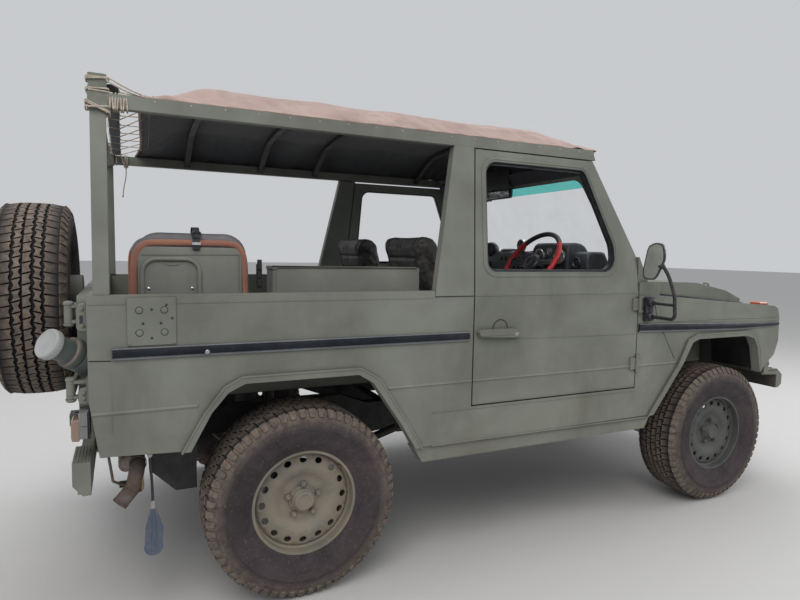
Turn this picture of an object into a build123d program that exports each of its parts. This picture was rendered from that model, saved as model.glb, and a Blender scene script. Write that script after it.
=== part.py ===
from build123d import *
import math
import os

# Light open-topped military 4x4 car, short wheelbase, right-hand drive.
# All sizes are in millimetres. +X is forward, +Y is the car's left, +Z is up, z = 0 is the ground.
# The origin is under the middle of the overall length, on the centre line.

# Driving dimensions
WHEELBASE = 2400
TRACK = 1425
FRONT_OVERHANG = 640
REAR_OVERHANG = 1070
BODY_WIDTH = 1700
WALL = 40
SHEET = 12
PANEL_GAP = 6
RUNNING_GAP = 5
SEAT_FIT = 0.3

# Levels above the ground
SILL_LOW = 490
SIDE_LOW = 560
FLOOR = 680
LOAD_FLOOR = 780
DOOR_LOW = 717
BELT = 1190
BELT_TOP = 1220
ROOF_LOW = 1843
ROOF_TOP = 1890
CROWN = ROOF_TOP + 160
REAR_BEND = 870
REAR_LOW = 664
SHOULDER = CROWN - 28

# Stations forward of the rear axle
BODY_REAR = -745
DOOR_REAR = 737
DOOR_FRONT = WHEELBASE - 698
BODY_FRONT = WHEELBASE + 450
BONNET_REAR = WHEELBASE - 540
BONNET_FRONT = WHEELBASE + 395
HEADER = DOOR_FRONT - 244
SCREEN_LOW = 1250

# Wheels and tyres
TYRE_R = 385
TYRE_W = 255
TREAD_W = 190
LIP_R = 220.5
LIP_OFFSET = 97.5
BEAD_R = 206
DISC_OFFSET = 45
RIM_T = 7
HUB_R = 42
WHEEL_FIT = 0.2

# Running gear
KINGPIN_Y = 620
STEER_ARM = 150
TIE_ROD_R = 13
RAIL_Y = 340
RAIL_W = 60
RAIL_H = 120
RAIL_TOP = 640

REAR_AXLE_X = (REAR_OVERHANG - FRONT_OVERHANG - WHEELBASE) / 2
HALF = BODY_WIDTH / 2
LEAN = math.degrees(math.atan(0.141))
WHEEL_Y = TRACK / 2


def side(y=0.0):
    """Plane along the car at y: x forward from the rear axle, y up from the ground, normal to the right."""
    return Plane(origin=(REAR_AXLE_X, y, 0), x_dir=(1, 0, 0), z_dir=(0, -1, 0))


def level(z=0.0):
    """Plane at height z: x forward from the rear axle, y to the left."""
    return Plane(origin=(REAR_AXLE_X, 0, z), x_dir=(1, 0, 0), z_dir=(0, 0, 1))


def across(x=0.0):
    """Plane across the car at station x: x to the left, y up from the ground, normal forward."""
    return Plane(origin=(REAR_AXLE_X + x, 0, 0), x_dir=(0, 1, 0), z_dir=(1, 0, 0))


def leaning(inset=0.0):
    """Plane of the right side above the belt: x forward from the rear axle, y up the leaning panel."""
    turn = math.radians(LEAN)
    normal = Vector(0, -math.cos(turn), math.sin(turn))
    foot = Vector(REAR_AXLE_X, -HALF, BELT) - normal * inset
    return Plane(origin=foot, x_dir=(1, 0, 0), z_dir=normal)


def up(z):
    """Distance up the leaning panel to the height z."""
    return (z - BELT) / math.cos(math.radians(LEAN))


def lean_in(z):
    """How far the leaning side is inside the belt at the height z."""
    return (z - BELT) * math.tan(math.radians(LEAN))


def rear_x(z):
    """Station of the body's rear face, which slants forward under the tail lamps."""
    return BODY_REAR + max(0, REAR_BEND - z) * 0.15


def pillar_x(z):
    """Station of the windscreen pillar's front face at the height z."""
    return HEADER + (ROOF_LOW - z) * 0.544


def keep(part, name):
    """Label a finished piece and write it."""
    part.label = name
    export_step(part, f"parts/{name}.step")


os.makedirs("parts", exist_ok=True)

# Step up from the cab floor to the load floor
STEP_X = DOOR_REAR - 177

# Chassis: two box rails with body mounts, and the cross members between them
RAIL_KICK = 50
RAIL_RISE = 20
RAIL_LINE = [
    # station, height of the rail's top
    (-700, RAIL_TOP), (-420, RAIL_TOP), (-300, RAIL_TOP + RAIL_KICK), (300, RAIL_TOP + RAIL_KICK),
    (430, RAIL_TOP),
    (WHEELBASE - 320, RAIL_TOP), (WHEELBASE - 200, RAIL_TOP + RAIL_RISE),
    (WHEELBASE + 220, RAIL_TOP + RAIL_RISE),
    (WHEELBASE + 500, RAIL_TOP),
]
MOUNTS = [-600, DOOR_REAR - 37, DOOR_FRONT - 102]
MOUNT_R = 28
CROSSMEMBERS = [
    # station, length, low, high
    (-680, 50, 535, 625),
    (DOOR_REAR - 217, 50, 535, 625),
    (WHEELBASE - 1170, 120, 520, 544),
    (WHEELBASE + 380, 50, 535, 625),
]

with BuildPart() as chassis_rails:
    for y in (-RAIL_Y, RAIL_Y):
        with BuildSketch(side(y + RAIL_W / 2)):
            Polygon(*RAIL_LINE, *[(x, z - RAIL_H) for x, z in reversed(RAIL_LINE)])
        extrude(amount=RAIL_W)
    for x in MOUNTS:
        with BuildSketch(level(RAIL_TOP)):
            with Locations((x, -RAIL_Y), (x, RAIL_Y)):
                Circle(MOUNT_R)
        extrude(amount=(LOAD_FLOOR if x < STEP_X else FLOOR) - RAIL_TOP)
keep(chassis_rails.part, "chassis_rails")

with BuildPart() as chassis_crossmembers:
    for x, length, low, high in CROSSMEMBERS:
        with BuildSketch(across(x)):
            with Locations((0, (low + high) / 2)):
                Rectangle(2 * RAIL_Y - RAIL_W, high - low)
        extrude(amount=length)
keep(chassis_crossmembers.part, "chassis_crossmembers")

# Floor: the cab floor, the step up and the load floor between the wheel houses
HOUSE_Y = 535
FLOOR_FRONT = BONNET_REAR - 90
REAR_INSIDE = BODY_REAR + 55

with BuildPart() as floor_pan:
    with BuildSketch(level(FLOOR)):
        with Locations(((STEP_X + FLOOR_FRONT) / 2, 0)):
            Rectangle(FLOOR_FRONT - STEP_X, 2 * (HALF - WALL))
    extrude(amount=SHEET)
    with BuildSketch(level(LOAD_FLOOR)):
        with Locations(((REAR_INSIDE + STEP_X + SHEET) / 2, 0)):
            Rectangle(STEP_X + SHEET - REAR_INSIDE, 2 * HOUSE_Y)
    extrude(amount=SHEET)
    with BuildSketch(across(STEP_X)):
        with Locations((0, (FLOOR + LOAD_FLOOR + SHEET) / 2)):
            Rectangle(2 * (HALF - WALL), LOAD_FLOOR + SHEET - FLOOR)
    extrude(amount=SHEET)
keep(floor_pan.part, "floor_pan")

# Rear wheel houses, with the shape of the wheel opening and a shelf before and behind.
# The clip of a hanging strap is under the rear shelf on the right.
HOUSE_LOW = LOAD_FLOOR + SHEET
STRAP_X = -558
STRAP_Y = -720
CLIP_R = 10
CLIP_H = 14
HOUSE = [
    (REAR_INSIDE, HOUSE_LOW), (-460, HOUSE_LOW), (-355, 885), (-290, 920),
    (285, 920), (350, 868), (400, HOUSE_LOW), (STEP_X, HOUSE_LOW),
]

with BuildPart() as wheel_houses:
    with BuildSketch(side(-HOUSE_Y)):
        Polygon(*HOUSE, *[(x, z - SHEET) for x, z in reversed(HOUSE)])
    extrude(amount=HALF - WALL - HOUSE_Y)
    with BuildSketch(side(-HOUSE_Y)):
        Polygon(*[(x, z) for x, z in HOUSE[1:-1]])
    extrude(amount=SHEET)
    mirror(about=Plane.XZ)
    with BuildSketch(level(LOAD_FLOOR)):
        with Locations((STRAP_X, STRAP_Y)):
            Circle(CLIP_R)
    extrude(amount=-CLIP_H)
keep(wheel_houses.part, "wheel_houses")

# Body sides: rear quarters with their wheel opening, and the plate with its bolt holes
REAR_ARCH = [
    (-430, 664), (-359, 796), (-300, 865), (-240, 893), (200, 893), (262, 856), (393, 668), (458, SIDE_LOW),
]
REAR_FLARE = [
    (-462, 664), (-386, 796), (-315, 888), (-250, 921), (208, 921), (290, 872), (424, 668), (490, SIDE_LOW),
]
FLARE_OUT = 12
CREASE_Z = 824
CREASE_H = 18
CREASE_OUT = 4
PLATE_X = -549.5
PLATE_Z = 1131
PLATE_SIZE = (153, 162)
PLATE_BOLTS = (78, 76)
PLATE_T = 4
BOLT_R = 7
POST_REAR = DOOR_REAR - 197


def crease(x0, x1):
    """The pressed line low on the body's right side, from one station to another, as a shallow wedge."""
    with BuildPart(mode=Mode.PRIVATE) as pressed:
        with BuildSketch(across(x0)):
            Polygon(
                (1 - HALF, CREASE_Z - CREASE_H / 2), (-HALF - CREASE_OUT, CREASE_Z),
                (1 - HALF, CREASE_Z + CREASE_H / 2),
            )
        extrude(amount=x1 - x0)
    return pressed.part


with BuildPart() as quarter_panels:
    with BuildSketch(side(-HALF + WALL)):
        Polygon(
            (BODY_REAR, BELT_TOP), (BODY_REAR, REAR_BEND), (rear_x(679), 679), *REAR_ARCH,
            (DOOR_REAR - PANEL_GAP, SIDE_LOW), (DOOR_REAR - PANEL_GAP, BELT), (POST_REAR, BELT),
            (POST_REAR, BELT_TOP),
        )
    extrude(amount=WALL)
    with BuildSketch(side(-HALF)):
        Polygon(*REAR_ARCH, *reversed(REAR_FLARE))
    extrude(amount=FLARE_OUT)
    for x0, x1 in ((rear_x(CREASE_Z), REAR_FLARE[1][0] - 18), (REAR_FLARE[5][0] + 40, DOOR_REAR - PANEL_GAP)):
        add(crease(x0, x1))
    with BuildSketch(side(-HALF)):
        with Locations((PLATE_X, PLATE_Z)):
            Rectangle(*PLATE_SIZE)
    extrude(amount=PLATE_T)
    with BuildSketch(side(-HALF - PLATE_T)):
        with Locations((PLATE_X, PLATE_Z)):
            with GridLocations(PLATE_BOLTS[0], PLATE_BOLTS[1], 2, 2):
                Circle(BOLT_R)
    extrude(amount=-PLATE_T - WALL, mode=Mode.SUBTRACT)
    mirror(about=Plane.XZ)
keep(quarter_panels.part, "quarter_panels")

# Sills: the step panel under each door and the rocker below
FRONT_ARCH_X = WHEELBASE - 562
ROCKER_T = 60
with BuildPart() as sills:
    with BuildSketch(side(-HALF + WALL)):
        Polygon(
            (DOOR_REAR - PANEL_GAP, SIDE_LOW), (DOOR_FRONT + PANEL_GAP, SIDE_LOW),
            (DOOR_FRONT + PANEL_GAP, DOOR_LOW - PANEL_GAP), (DOOR_REAR - PANEL_GAP, DOOR_LOW - PANEL_GAP),
        )
    extrude(amount=WALL)
    with BuildSketch(side(-HALF + 70)):
        Polygon(
            (REAR_ARCH[-1][0], SIDE_LOW), (REAR_ARCH[-1][0] + 42, SILL_LOW),
            (FRONT_ARCH_X - 38, SILL_LOW), (FRONT_ARCH_X + 2, SIDE_LOW),
        )
    extrude(amount=ROCKER_T)
    mirror(about=Plane.XZ)
keep(sills.part, "sills")

# Panels behind the doors, leaning in to the roof rails
DOOR_LEAN = 38
with BuildPart() as b_pillars:
    with BuildSketch(leaning(WALL)):
        Polygon(
            (POST_REAR, up(BELT)), (DOOR_REAR - PANEL_GAP, up(BELT)),
            (DOOR_REAR + DOOR_LEAN - PANEL_GAP, up(ROOF_LOW)), (POST_REAR + 128, up(ROOF_LOW)),
        )
    extrude(amount=WALL)
    split(bisect_by=Plane.XY.offset(BELT), keep=Keep.TOP)
    split(bisect_by=Plane.XY.offset(ROOF_LOW), keep=Keep.BOTTOM)
    mirror(about=Plane.XZ)
keep(b_pillars.part, "b_pillars")

# Roof frame: side rails, bows under the canvas, rear posts with their cross bar
ROOF_Y = HALF - lean_in(ROOF_LOW)
RAIL_DEPTH = 36
POST_X = -726
POST_W = 49
POST_TOP = 1940
BOW_STATIONS = [-300, 130, 480, HEADER - 248]
BOW_W = 30
BOW_T = 22
CANVAS_T = 8
SHOULDER_Y = 470
HAUNCH_Y = 620
HAUNCH = (SHOULDER + ROOF_TOP) / 2 + 12

with BuildPart() as roof_rails:
    for y in (-ROOF_Y + RAIL_DEPTH, ROOF_Y):
        with BuildSketch(side(y)):
            Polygon(
                (POST_X + POST_W, ROOF_LOW), (HEADER + 8, ROOF_LOW), (HEADER - 12, ROOF_TOP),
                (POST_X + POST_W, ROOF_TOP),
            )
        extrude(amount=RAIL_DEPTH)
keep(roof_rails.part, "roof_rails")
RAIL_IN = ROOF_Y - RAIL_DEPTH


def bow_line(y, foot, shrink):
    """The bow's outline between the rails, sunk by shrink under the canvas: haunch, crown, haunch."""
    shoulder = (SHOULDER_Y - shrink / 5, SHOULDER - shrink)
    haunch = (HAUNCH_Y - shrink, HAUNCH - shrink)
    crown = (0, CROWN - shrink)
    ThreePointArc((y, foot), haunch, shoulder)
    ThreePointArc(shoulder, crown, (-shoulder[0], shoulder[1]))
    ThreePointArc((-shoulder[0], shoulder[1]), (-haunch[0], haunch[1]), (-y, foot))


with BuildPart() as roof_bows:
    for x in BOW_STATIONS:
        with BuildSketch(across(x)):
            with BuildLine():
                bow_line(RAIL_IN, ROOF_TOP - 10, CANVAS_T + 2)
                bow_line(RAIL_IN, ROOF_TOP - 36, CANVAS_T + 2 + BOW_T)
                Line((RAIL_IN, ROOF_TOP - 10), (RAIL_IN, ROOF_TOP - 36))
                Line((-RAIL_IN, ROOF_TOP - 10), (-RAIL_IN, ROOF_TOP - 36))
            make_face()
        extrude(amount=BOW_W)
keep(roof_bows.part, "roof_bows")

with BuildPart() as rear_posts:
    with BuildSketch(leaning(WALL + 4)):
        Polygon(
            (POST_X, up(BELT_TOP - 60)), (POST_X + POST_W, up(BELT_TOP - 60)),
            (POST_X + POST_W, up(POST_TOP)), (POST_X, up(POST_TOP)),
        )
    extrude(amount=WALL)
    split(bisect_by=Plane.XY.offset(BELT_TOP), keep=Keep.TOP)
    mirror(about=Plane.XZ)
    with BuildSketch(side(0)):
        with Locations((POST_X + POST_W / 2, 1840)):
            Circle(16)
    extrude(amount=ROOF_Y - WALL + 8, both=True)
keep(rear_posts.part, "rear_posts")

# Canvas: drawn over the bows, drooping behind the last one, and falling to the header with a closed front
CANVAS_REAR = -565
CANVAS_FRONT = HEADER + 20
CANVAS_FOOT = 12
FLAP_Y = ROOF_Y - CANVAS_FOOT / 2
FLAP_LOW = ROOF_LOW + SEAT_FIT
CANVAS_LINE = [
    # station, how far the crown and the shoulders droop
    (CANVAS_REAR, 44),
    (BOW_STATIONS[0], 0),
    (BOW_STATIONS[-1] + BOW_W, 0),
    (CANVAS_FRONT, 58),
]


def canvas_arch(y, droop, inset):
    """The canvas's section from rail to rail, as haunch, crown and haunch arcs."""
    share = 1 - droop / (CROWN - ROOF_TOP)
    shoulder = (SHOULDER_Y - inset / 4, ROOF_TOP + (SHOULDER - ROOF_TOP) * share - inset)
    haunch = (HAUNCH_Y - inset, ROOF_TOP + (HAUNCH - ROOF_TOP) * share - inset * 0.75)
    ThreePointArc((y, ROOF_TOP), haunch, shoulder)
    ThreePointArc(shoulder, (0, CROWN - droop - inset), (-shoulder[0], shoulder[1]))
    ThreePointArc((-shoulder[0], shoulder[1]), (-haunch[0], haunch[1]), (-y, ROOF_TOP))


with BuildPart() as canvas_top:
    for x, droop in CANVAS_LINE:
        with BuildSketch(across(x)):
            with BuildLine():
                canvas_arch(ROOF_Y, droop, 0)
                canvas_arch(ROOF_Y - CANVAS_FOOT, droop, CANVAS_T)
                Line((ROOF_Y, ROOF_TOP), (ROOF_Y - CANVAS_FOOT, ROOF_TOP))
                Line((-ROOF_Y, ROOF_TOP), (-ROOF_Y + CANVAS_FOOT, ROOF_TOP))
            make_face()
    loft(ruled=True)
    with BuildSketch(across(CANVAS_FRONT)):
        with BuildLine():
            canvas_arch(FLAP_Y, CANVAS_LINE[-1][1], CANVAS_T / 2)
            Polyline((FLAP_Y, ROOF_TOP), (FLAP_Y, FLAP_LOW), (-FLAP_Y, FLAP_LOW), (-FLAP_Y, ROOF_TOP))
        make_face()
    extrude(amount=-CANVAS_T)
keep(canvas_top.part, "canvas_top")

# Windscreen: a leaning frame between the cowl and the roof header, and its glass
SCREEN_T = 45
SCREEN_TILT = math.degrees(math.atan(0.544))
SCREEN_HALF_LOW = HALF - WALL - PANEL_GAP - lean_in(SCREEN_LOW)
SCREEN_HALF_TOP = HALF - WALL - PANEL_GAP - lean_in(ROOF_TOP)


def screen(inset=0.0):
    """Plane of the windscreen's front face: x to the left, y up the glass, from the cowl."""
    turn = math.radians(SCREEN_TILT)
    normal = Vector(math.cos(turn), 0, math.sin(turn))
    foot = Vector(REAR_AXLE_X + pillar_x(SCREEN_LOW), 0, SCREEN_LOW) - normal * inset
    return Plane(origin=foot, x_dir=(0, 1, 0), z_dir=normal)


SCREEN_H = (ROOF_LOW - SCREEN_LOW) / math.cos(math.radians(SCREEN_TILT))
PILLAR_LOW = 52
PILLAR_TOP = 42
SCREEN_RIM_LOW = 60
SCREEN_RIM_TOP = 70
PANE_ROUND = 50
GLASS_T = 6


def pane_corners(fit):
    """Corners of the glass opening on the windscreen's plane, drawn in by fit."""
    low_y, top_y = SCREEN_HALF_LOW - PILLAR_LOW - fit, SCREEN_HALF_TOP - PILLAR_TOP - fit
    low_z, top_z = SCREEN_RIM_LOW + fit, SCREEN_H - SCREEN_RIM_TOP - fit
    return [(-low_y, low_z), (low_y, low_z), (top_y, top_z), (-top_y, top_z)]


with BuildPart() as windscreen_frame:
    with BuildSketch(screen(SCREEN_T)):
        Polygon(
            (-SCREEN_HALF_LOW, 0), (SCREEN_HALF_LOW, 0), (SCREEN_HALF_TOP, SCREEN_H),
            (-SCREEN_HALF_TOP, SCREEN_H),
        )
    extrude(amount=SCREEN_T)
    with BuildSketch(screen(SCREEN_T)) as opening:
        Polygon(*pane_corners(0))
        fillet(opening.vertices(), PANE_ROUND)
    extrude(amount=SCREEN_T, mode=Mode.SUBTRACT)
    split(bisect_by=Plane.XY.offset(SCREEN_LOW), keep=Keep.TOP)
    split(bisect_by=Plane.XY.offset(ROOF_LOW), keep=Keep.BOTTOM)
keep(windscreen_frame.part, "windscreen_frame")

with BuildPart() as windscreen_glass:
    with BuildSketch(screen((SCREEN_T + GLASS_T) / 2)) as pane:
        Polygon(*pane_corners(SEAT_FIT))
        fillet(pane.vertices(), PANE_ROUND)
    extrude(amount=GLASS_T)
keep(windscreen_glass.part, "windscreen_glass")

BONNET_HINGE = (BONNET_REAR - 6, 430, 1251)
BONNET_HINGE_R = 6
BONNET_BARREL = 30
BONNET_EAR = 12

# Cowl: the bulkhead under the windscreen, its top panel and the door posts at its ends
BULKHEAD_X = BONNET_REAR - 90
COWL_Y = HALF - WALL
COWL_Z = 1200
GUTTER_Z = 1236
DOOR_POST = 50

with BuildPart() as cowl:
    with BuildSketch(side(COWL_Y)):
        Polygon(
            (BULKHEAD_X, FLOOR), (BULKHEAD_X + SHEET, FLOOR), (BULKHEAD_X + SHEET, GUTTER_Z - 18),
            (BONNET_REAR - 8, GUTTER_Z - 18), (BONNET_REAR - 8, GUTTER_Z), (pillar_x(SCREEN_LOW), SCREEN_LOW),
            (DOOR_FRONT + PANEL_GAP, SCREEN_LOW), (DOOR_FRONT + PANEL_GAP, COWL_Z), (BULKHEAD_X, COWL_Z),
        )
    extrude(amount=2 * COWL_Y)
    for y in (-COWL_Y + DOOR_POST, COWL_Y):
        with BuildSketch(side(y)):
            Polygon(
                (DOOR_FRONT + PANEL_GAP, FLOOR + SHEET), (BULKHEAD_X, FLOOR + SHEET),
                (BULKHEAD_X, COWL_Z), (DOOR_FRONT + PANEL_GAP, COWL_Z),
            )
        extrude(amount=DOOR_POST)
    for y in (-BONNET_HINGE[1], BONNET_HINGE[1]):
        for ear_y in (y - BONNET_BARREL / 2 - SEAT_FIT, y + BONNET_BARREL / 2 + SEAT_FIT + BONNET_EAR):
            with BuildSketch(side(ear_y)):
                with Locations((BONNET_HINGE[0], BONNET_HINGE[2])):
                    Circle(BONNET_HINGE_R)
                Polygon(
                    (BONNET_HINGE[0], BONNET_HINGE[2]), (BONNET_HINGE[0], BONNET_HINGE[2] + BONNET_HINGE_R),
                    (BONNET_REAR - 45, BONNET_HINGE[2]), (BONNET_REAR - 45, GUTTER_Z + 2),
                    (BONNET_REAR - 10, GUTTER_Z - 6),
                )
            extrude(amount=BONNET_EAR)
keep(cowl.part, "cowl")

# Front fenders: outer side with the wheel opening, top shelf, inner wall and the foot of the pillar
FRONT_ARCH = [
    (FRONT_ARCH_X, SIDE_LOW), (WHEELBASE - 357, 817), (WHEELBASE - 292, 927), (WHEELBASE - 244, 943),
    (WHEELBASE + 150, 943), (WHEELBASE + 215, 925), (WHEELBASE + 249, 871), (WHEELBASE + 285, 726),
]
FRONT_FLARE = [
    (FRONT_ARCH_X - 30, SIDE_LOW), (WHEELBASE - 388, 817), (WHEELBASE - 318, 946), (WHEELBASE - 255, 970),
    (WHEELBASE + 162, 970), (WHEELBASE + 238, 944), (WHEELBASE + 276, 875), (WHEELBASE + 300, 740),
]
SHELF_Y = 640
POST_FOOT = 1376
APRON_Y = 385
SHELF_REAR_Z = 1180
SHELF_FRONT_Z = 1106

HINGE_Y = HALF + 10
HINGE_R = 8
HINGE_X = DOOR_FRONT + PANEL_GAP / 2
HINGE_H = 60
HINGES = [810, 1110]
HINGE_EAR = 11

with BuildPart() as front_fenders:
    with BuildSketch(side(-HALF + WALL)):
        Polygon(
            (DOOR_FRONT + PANEL_GAP, SIDE_LOW), *FRONT_ARCH, (WHEELBASE + 300, 726), (WHEELBASE + 419, 821),
            (BODY_FRONT, 902), (BODY_FRONT - 4, 1040), (BODY_FRONT - 20, 1090),
            (BODY_FRONT - 50, SHELF_FRONT_Z),
            (BONNET_REAR - 8, SHELF_REAR_Z), (BONNET_REAR - 8, GUTTER_Z), (pillar_x(SCREEN_LOW), SCREEN_LOW),
            (DOOR_FRONT + PANEL_GAP, SCREEN_LOW),
        )
    extrude(amount=WALL)
    with BuildSketch(side(-HALF)):
        Polygon(*FRONT_ARCH, *reversed(FRONT_FLARE))
    extrude(amount=FLARE_OUT)
    add(crease(HINGE_X + HINGE_R + RUNNING_GAP, FRONT_FLARE[1][0] - 14))
    with BuildSketch(side(-SHELF_Y)):
        Polygon(
            (BONNET_REAR - 8, SHELF_REAR_Z), (BODY_FRONT - 50, SHELF_FRONT_Z),
            (BODY_FRONT - 50, SHELF_FRONT_Z - SHEET), (BONNET_REAR - 8, SHELF_REAR_Z - SHEET),
        )
    extrude(amount=HALF - WALL - SHELF_Y)
    with BuildSketch(side(-APRON_Y)):
        Polygon(
            (BULKHEAD_X + SHEET, 720), (WHEELBASE - 330, 960), (WHEELBASE + 230, 960), (BODY_FRONT - 62, 860),
            (BODY_FRONT - 62, 848), (WHEELBASE + 224, 948), (WHEELBASE - 324, 948), (BULKHEAD_X + SHEET, 704),
        )
    extrude(amount=HALF - WALL - APRON_Y)
    with BuildSketch(side(-APRON_Y + SHEET)):
        Polygon(
            (BULKHEAD_X + SHEET, 704), (BODY_FRONT - 62, 704), (BODY_FRONT - 62, 1040),
            (BULKHEAD_X + SHEET, 1080),
        )
    extrude(amount=SHEET)
    with BuildSketch(side(-SCREEN_HALF_LOW - SEAT_FIT)):
        Polygon(
            (DOOR_FRONT + PANEL_GAP, SCREEN_LOW), (pillar_x(SCREEN_LOW), SCREEN_LOW),
            (pillar_x(POST_FOOT), POST_FOOT), (DOOR_FRONT + PANEL_GAP, POST_FOOT),
        )
    extrude(amount=WALL)
    for z in HINGES:
        for ear_z in (z - HINGE_EAR - SEAT_FIT, z + HINGE_H + SEAT_FIT):
            with BuildSketch(level(ear_z)):
                with Locations((HINGE_X, -HINGE_Y)):
                    Circle(HINGE_R)
                with Locations((HINGE_X + 14, -HALF - 4)):
                    Rectangle(26, 8)
            extrude(amount=HINGE_EAR)
    mirror(about=Plane.XZ)
keep(front_fenders.part, "front_fenders")

# Grille panel between the fenders, with slots and headlamp openings
PANEL_X = BODY_FRONT - 50
LAMP_Y = 600
LAMP_Z = 985
LAMP_R = 90

with BuildPart() as grille_panel:
    with BuildSketch(across(PANEL_X)):
        with Locations((0, 900)):
            Rectangle(2 * (HALF - WALL), 400)
    extrude(amount=40)
    with BuildSketch(across(PANEL_X)):
        with Locations((0, 950)):
            with GridLocations(0, 46, 1, 5):
                SlotOverall(820, 26)
        with Locations((-LAMP_Y, LAMP_Z), (LAMP_Y, LAMP_Z)):
            Circle(LAMP_R + 0.3)
    extrude(amount=40, mode=Mode.SUBTRACT)
keep(grille_panel.part, "grille_panel")

with BuildPart() as headlamps:
    with BuildSketch(across(PANEL_X)):
        with Locations((-LAMP_Y, LAMP_Z), (LAMP_Y, LAMP_Z)):
            Circle(LAMP_R)
    extrude(amount=38)
keep(headlamps.part, "headlamps")

TAIL_LAMP = (30, 735, 835)

with BuildPart() as signal_lamps:
    with BuildSketch(side(-735)):
        Polygon(
            (WHEELBASE + 250, 1118.5), (WHEELBASE + 345, 1111.5), (WHEELBASE + 335, 1133),
            (WHEELBASE + 260, 1140),
        )
    extrude(amount=60)
    with BuildSketch(side(-HALF + TAIL_LAMP[0])):
        Polygon(
            (rear_x(TAIL_LAMP[2]) - SEAT_FIT, TAIL_LAMP[2]), (rear_x(TAIL_LAMP[1]) - SEAT_FIT, TAIL_LAMP[1]),
            (rear_x(TAIL_LAMP[1]) - 35, TAIL_LAMP[1]), (rear_x(TAIL_LAMP[2]) - 35, TAIL_LAMP[2]),
        )
    extrude(amount=-90)
    mirror(about=Plane.XZ)
keep(signal_lamps.part, "signal_lamps")

# Bonnet: a shallow tray that opens on hinges at the cowl
BONNET_Y = 634

with BuildPart() as bonnet:
    with BuildSketch(side(BONNET_Y)):
        Polygon(
            (BONNET_REAR, 1190), (BONNET_REAR, 1246), (WHEELBASE, 1232), (WHEELBASE + 260, 1184),
            (BONNET_FRONT, 1132), (BONNET_FRONT, 1114),
        )
    extrude(amount=2 * BONNET_Y)
    offset(amount=-SHEET, openings=bonnet.faces().sort_by(Axis.Z)[0])
    for y in (-BONNET_HINGE[1], BONNET_HINGE[1]):
        with BuildSketch(side(y + BONNET_BARREL / 2)):
            with Locations((BONNET_HINGE[0], BONNET_HINGE[2])):
                Circle(BONNET_HINGE_R)
            Polygon(
                (BONNET_HINGE[0], BONNET_HINGE[2]), (BONNET_HINGE[0], BONNET_HINGE[2] + BONNET_HINGE_R),
                (BONNET_REAR + 45, 1247), (BONNET_REAR + 45, 1236), (BONNET_REAR + 1, 1236),
            )
        extrude(amount=BONNET_BARREL)
keep(bonnet.part, "bonnet")

# Bumpers
FRONT_FACE = WHEELBASE + FRONT_OVERHANG
BUMPER_Y = 770
TOW_Z = 545
TOW_R = 38
TOW_BORE = 20
TOW_T = 24

with BuildPart() as front_bumper:
    with BuildSketch(side(BUMPER_Y)):
        Polygon(
            (FRONT_FACE - 200, 700), (FRONT_FACE - 40, 700), (FRONT_FACE, 670), (FRONT_FACE, 610),
            (FRONT_FACE - 30, 590), (FRONT_FACE - 60, 590), (FRONT_FACE - 60, 670), (FRONT_FACE - 200, 680),
        )
    extrude(amount=2 * BUMPER_Y)
    for y in (-RAIL_Y + RAIL_W / 2, RAIL_Y + RAIL_W / 2):
        with BuildSketch(side(y)):
            Polygon(
                (FRONT_FACE - 140, 560), (FRONT_FACE - 60, 590), (FRONT_FACE - 60, 670),
                (FRONT_FACE - 140, 680),
            )
        extrude(amount=RAIL_W)
    for y in (-RAIL_Y + TOW_T / 2, RAIL_Y + TOW_T / 2):
        with BuildSketch(side(y)):
            with Locations((FRONT_FACE - 100, TOW_Z)):
                Circle(TOW_R)
        extrude(amount=TOW_T)
    with BuildSketch(side(RAIL_Y + TOW_T / 2)):
        with Locations((FRONT_FACE - 100, TOW_Z)):
            Circle(TOW_BORE)
    extrude(amount=2 * RAIL_Y + TOW_T, mode=Mode.SUBTRACT)
keep(front_bumper.part, "front_bumper")

END_W = 190

with BuildPart() as rear_bumper:
    with BuildSketch(across(BODY_REAR)):
        with Locations((0, 600)):
            Rectangle(1660, 90)
    extrude(amount=-40)
    for y in (-HALF + 20 + END_W, HALF - 20):
        with BuildSketch(side(y)):
            Polygon(
                (BODY_REAR - 55, 662), (BODY_REAR, 662), (BODY_REAR, 548), (BODY_REAR - 25, 548),
                (BODY_REAR - 55, 585),
            )
        extrude(amount=END_W)
    with BuildSketch(level(575)):
        with Locations((BODY_REAR - 75, 0)):
            Rectangle(90, 90)
        with Locations((BODY_REAR - 85, 0)):
            Circle(16, mode=Mode.SUBTRACT)
    extrude(amount=50)
    with BuildSketch(across(-700)):
        with Locations((-RAIL_Y, 585), (RAIL_Y, 585)):
            Rectangle(RAIL_W, 80)
    extrude(amount=-45)
keep(rear_bumper.part, "rear_bumper")

# Rear frame of the body: the corners and the sill round the rear door
DOOR_EDGE_Y = 600

with BuildPart() as rear_panel:
    with BuildSketch(side(HALF - WALL)):
        Polygon(
            (BODY_REAR, BELT_TOP), (BODY_REAR, REAR_BEND),
            (rear_x(REAR_LOW), REAR_LOW), (rear_x(REAR_LOW) + WALL, REAR_LOW),
            (BODY_REAR + WALL, REAR_BEND), (BODY_REAR + WALL, BELT_TOP),
        )
    extrude(amount=2 * (HALF - WALL))
    with BuildSketch(across(BODY_REAR)):
        with Locations((0, LOAD_FLOOR + SHEET + 250)):
            Rectangle(2 * DOOR_EDGE_Y, 500)
    extrude(amount=WALL, mode=Mode.SUBTRACT)
keep(rear_panel.part, "rear_panel")

# Engine, gearbox and shafts
with BuildPart() as engine_block:
    with BuildSketch(level(600)):
        with Locations((WHEELBASE - 60, 0)):
            Rectangle(600, 420)
    extrude(amount=450)
    with BuildSketch(level(600)):
        with Locations((WHEELBASE - 60, 0)):
            Rectangle(90, 2 * RAIL_Y - RAIL_W)
    extrude(amount=30)
keep(engine_block.part, "engine_block")

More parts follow.
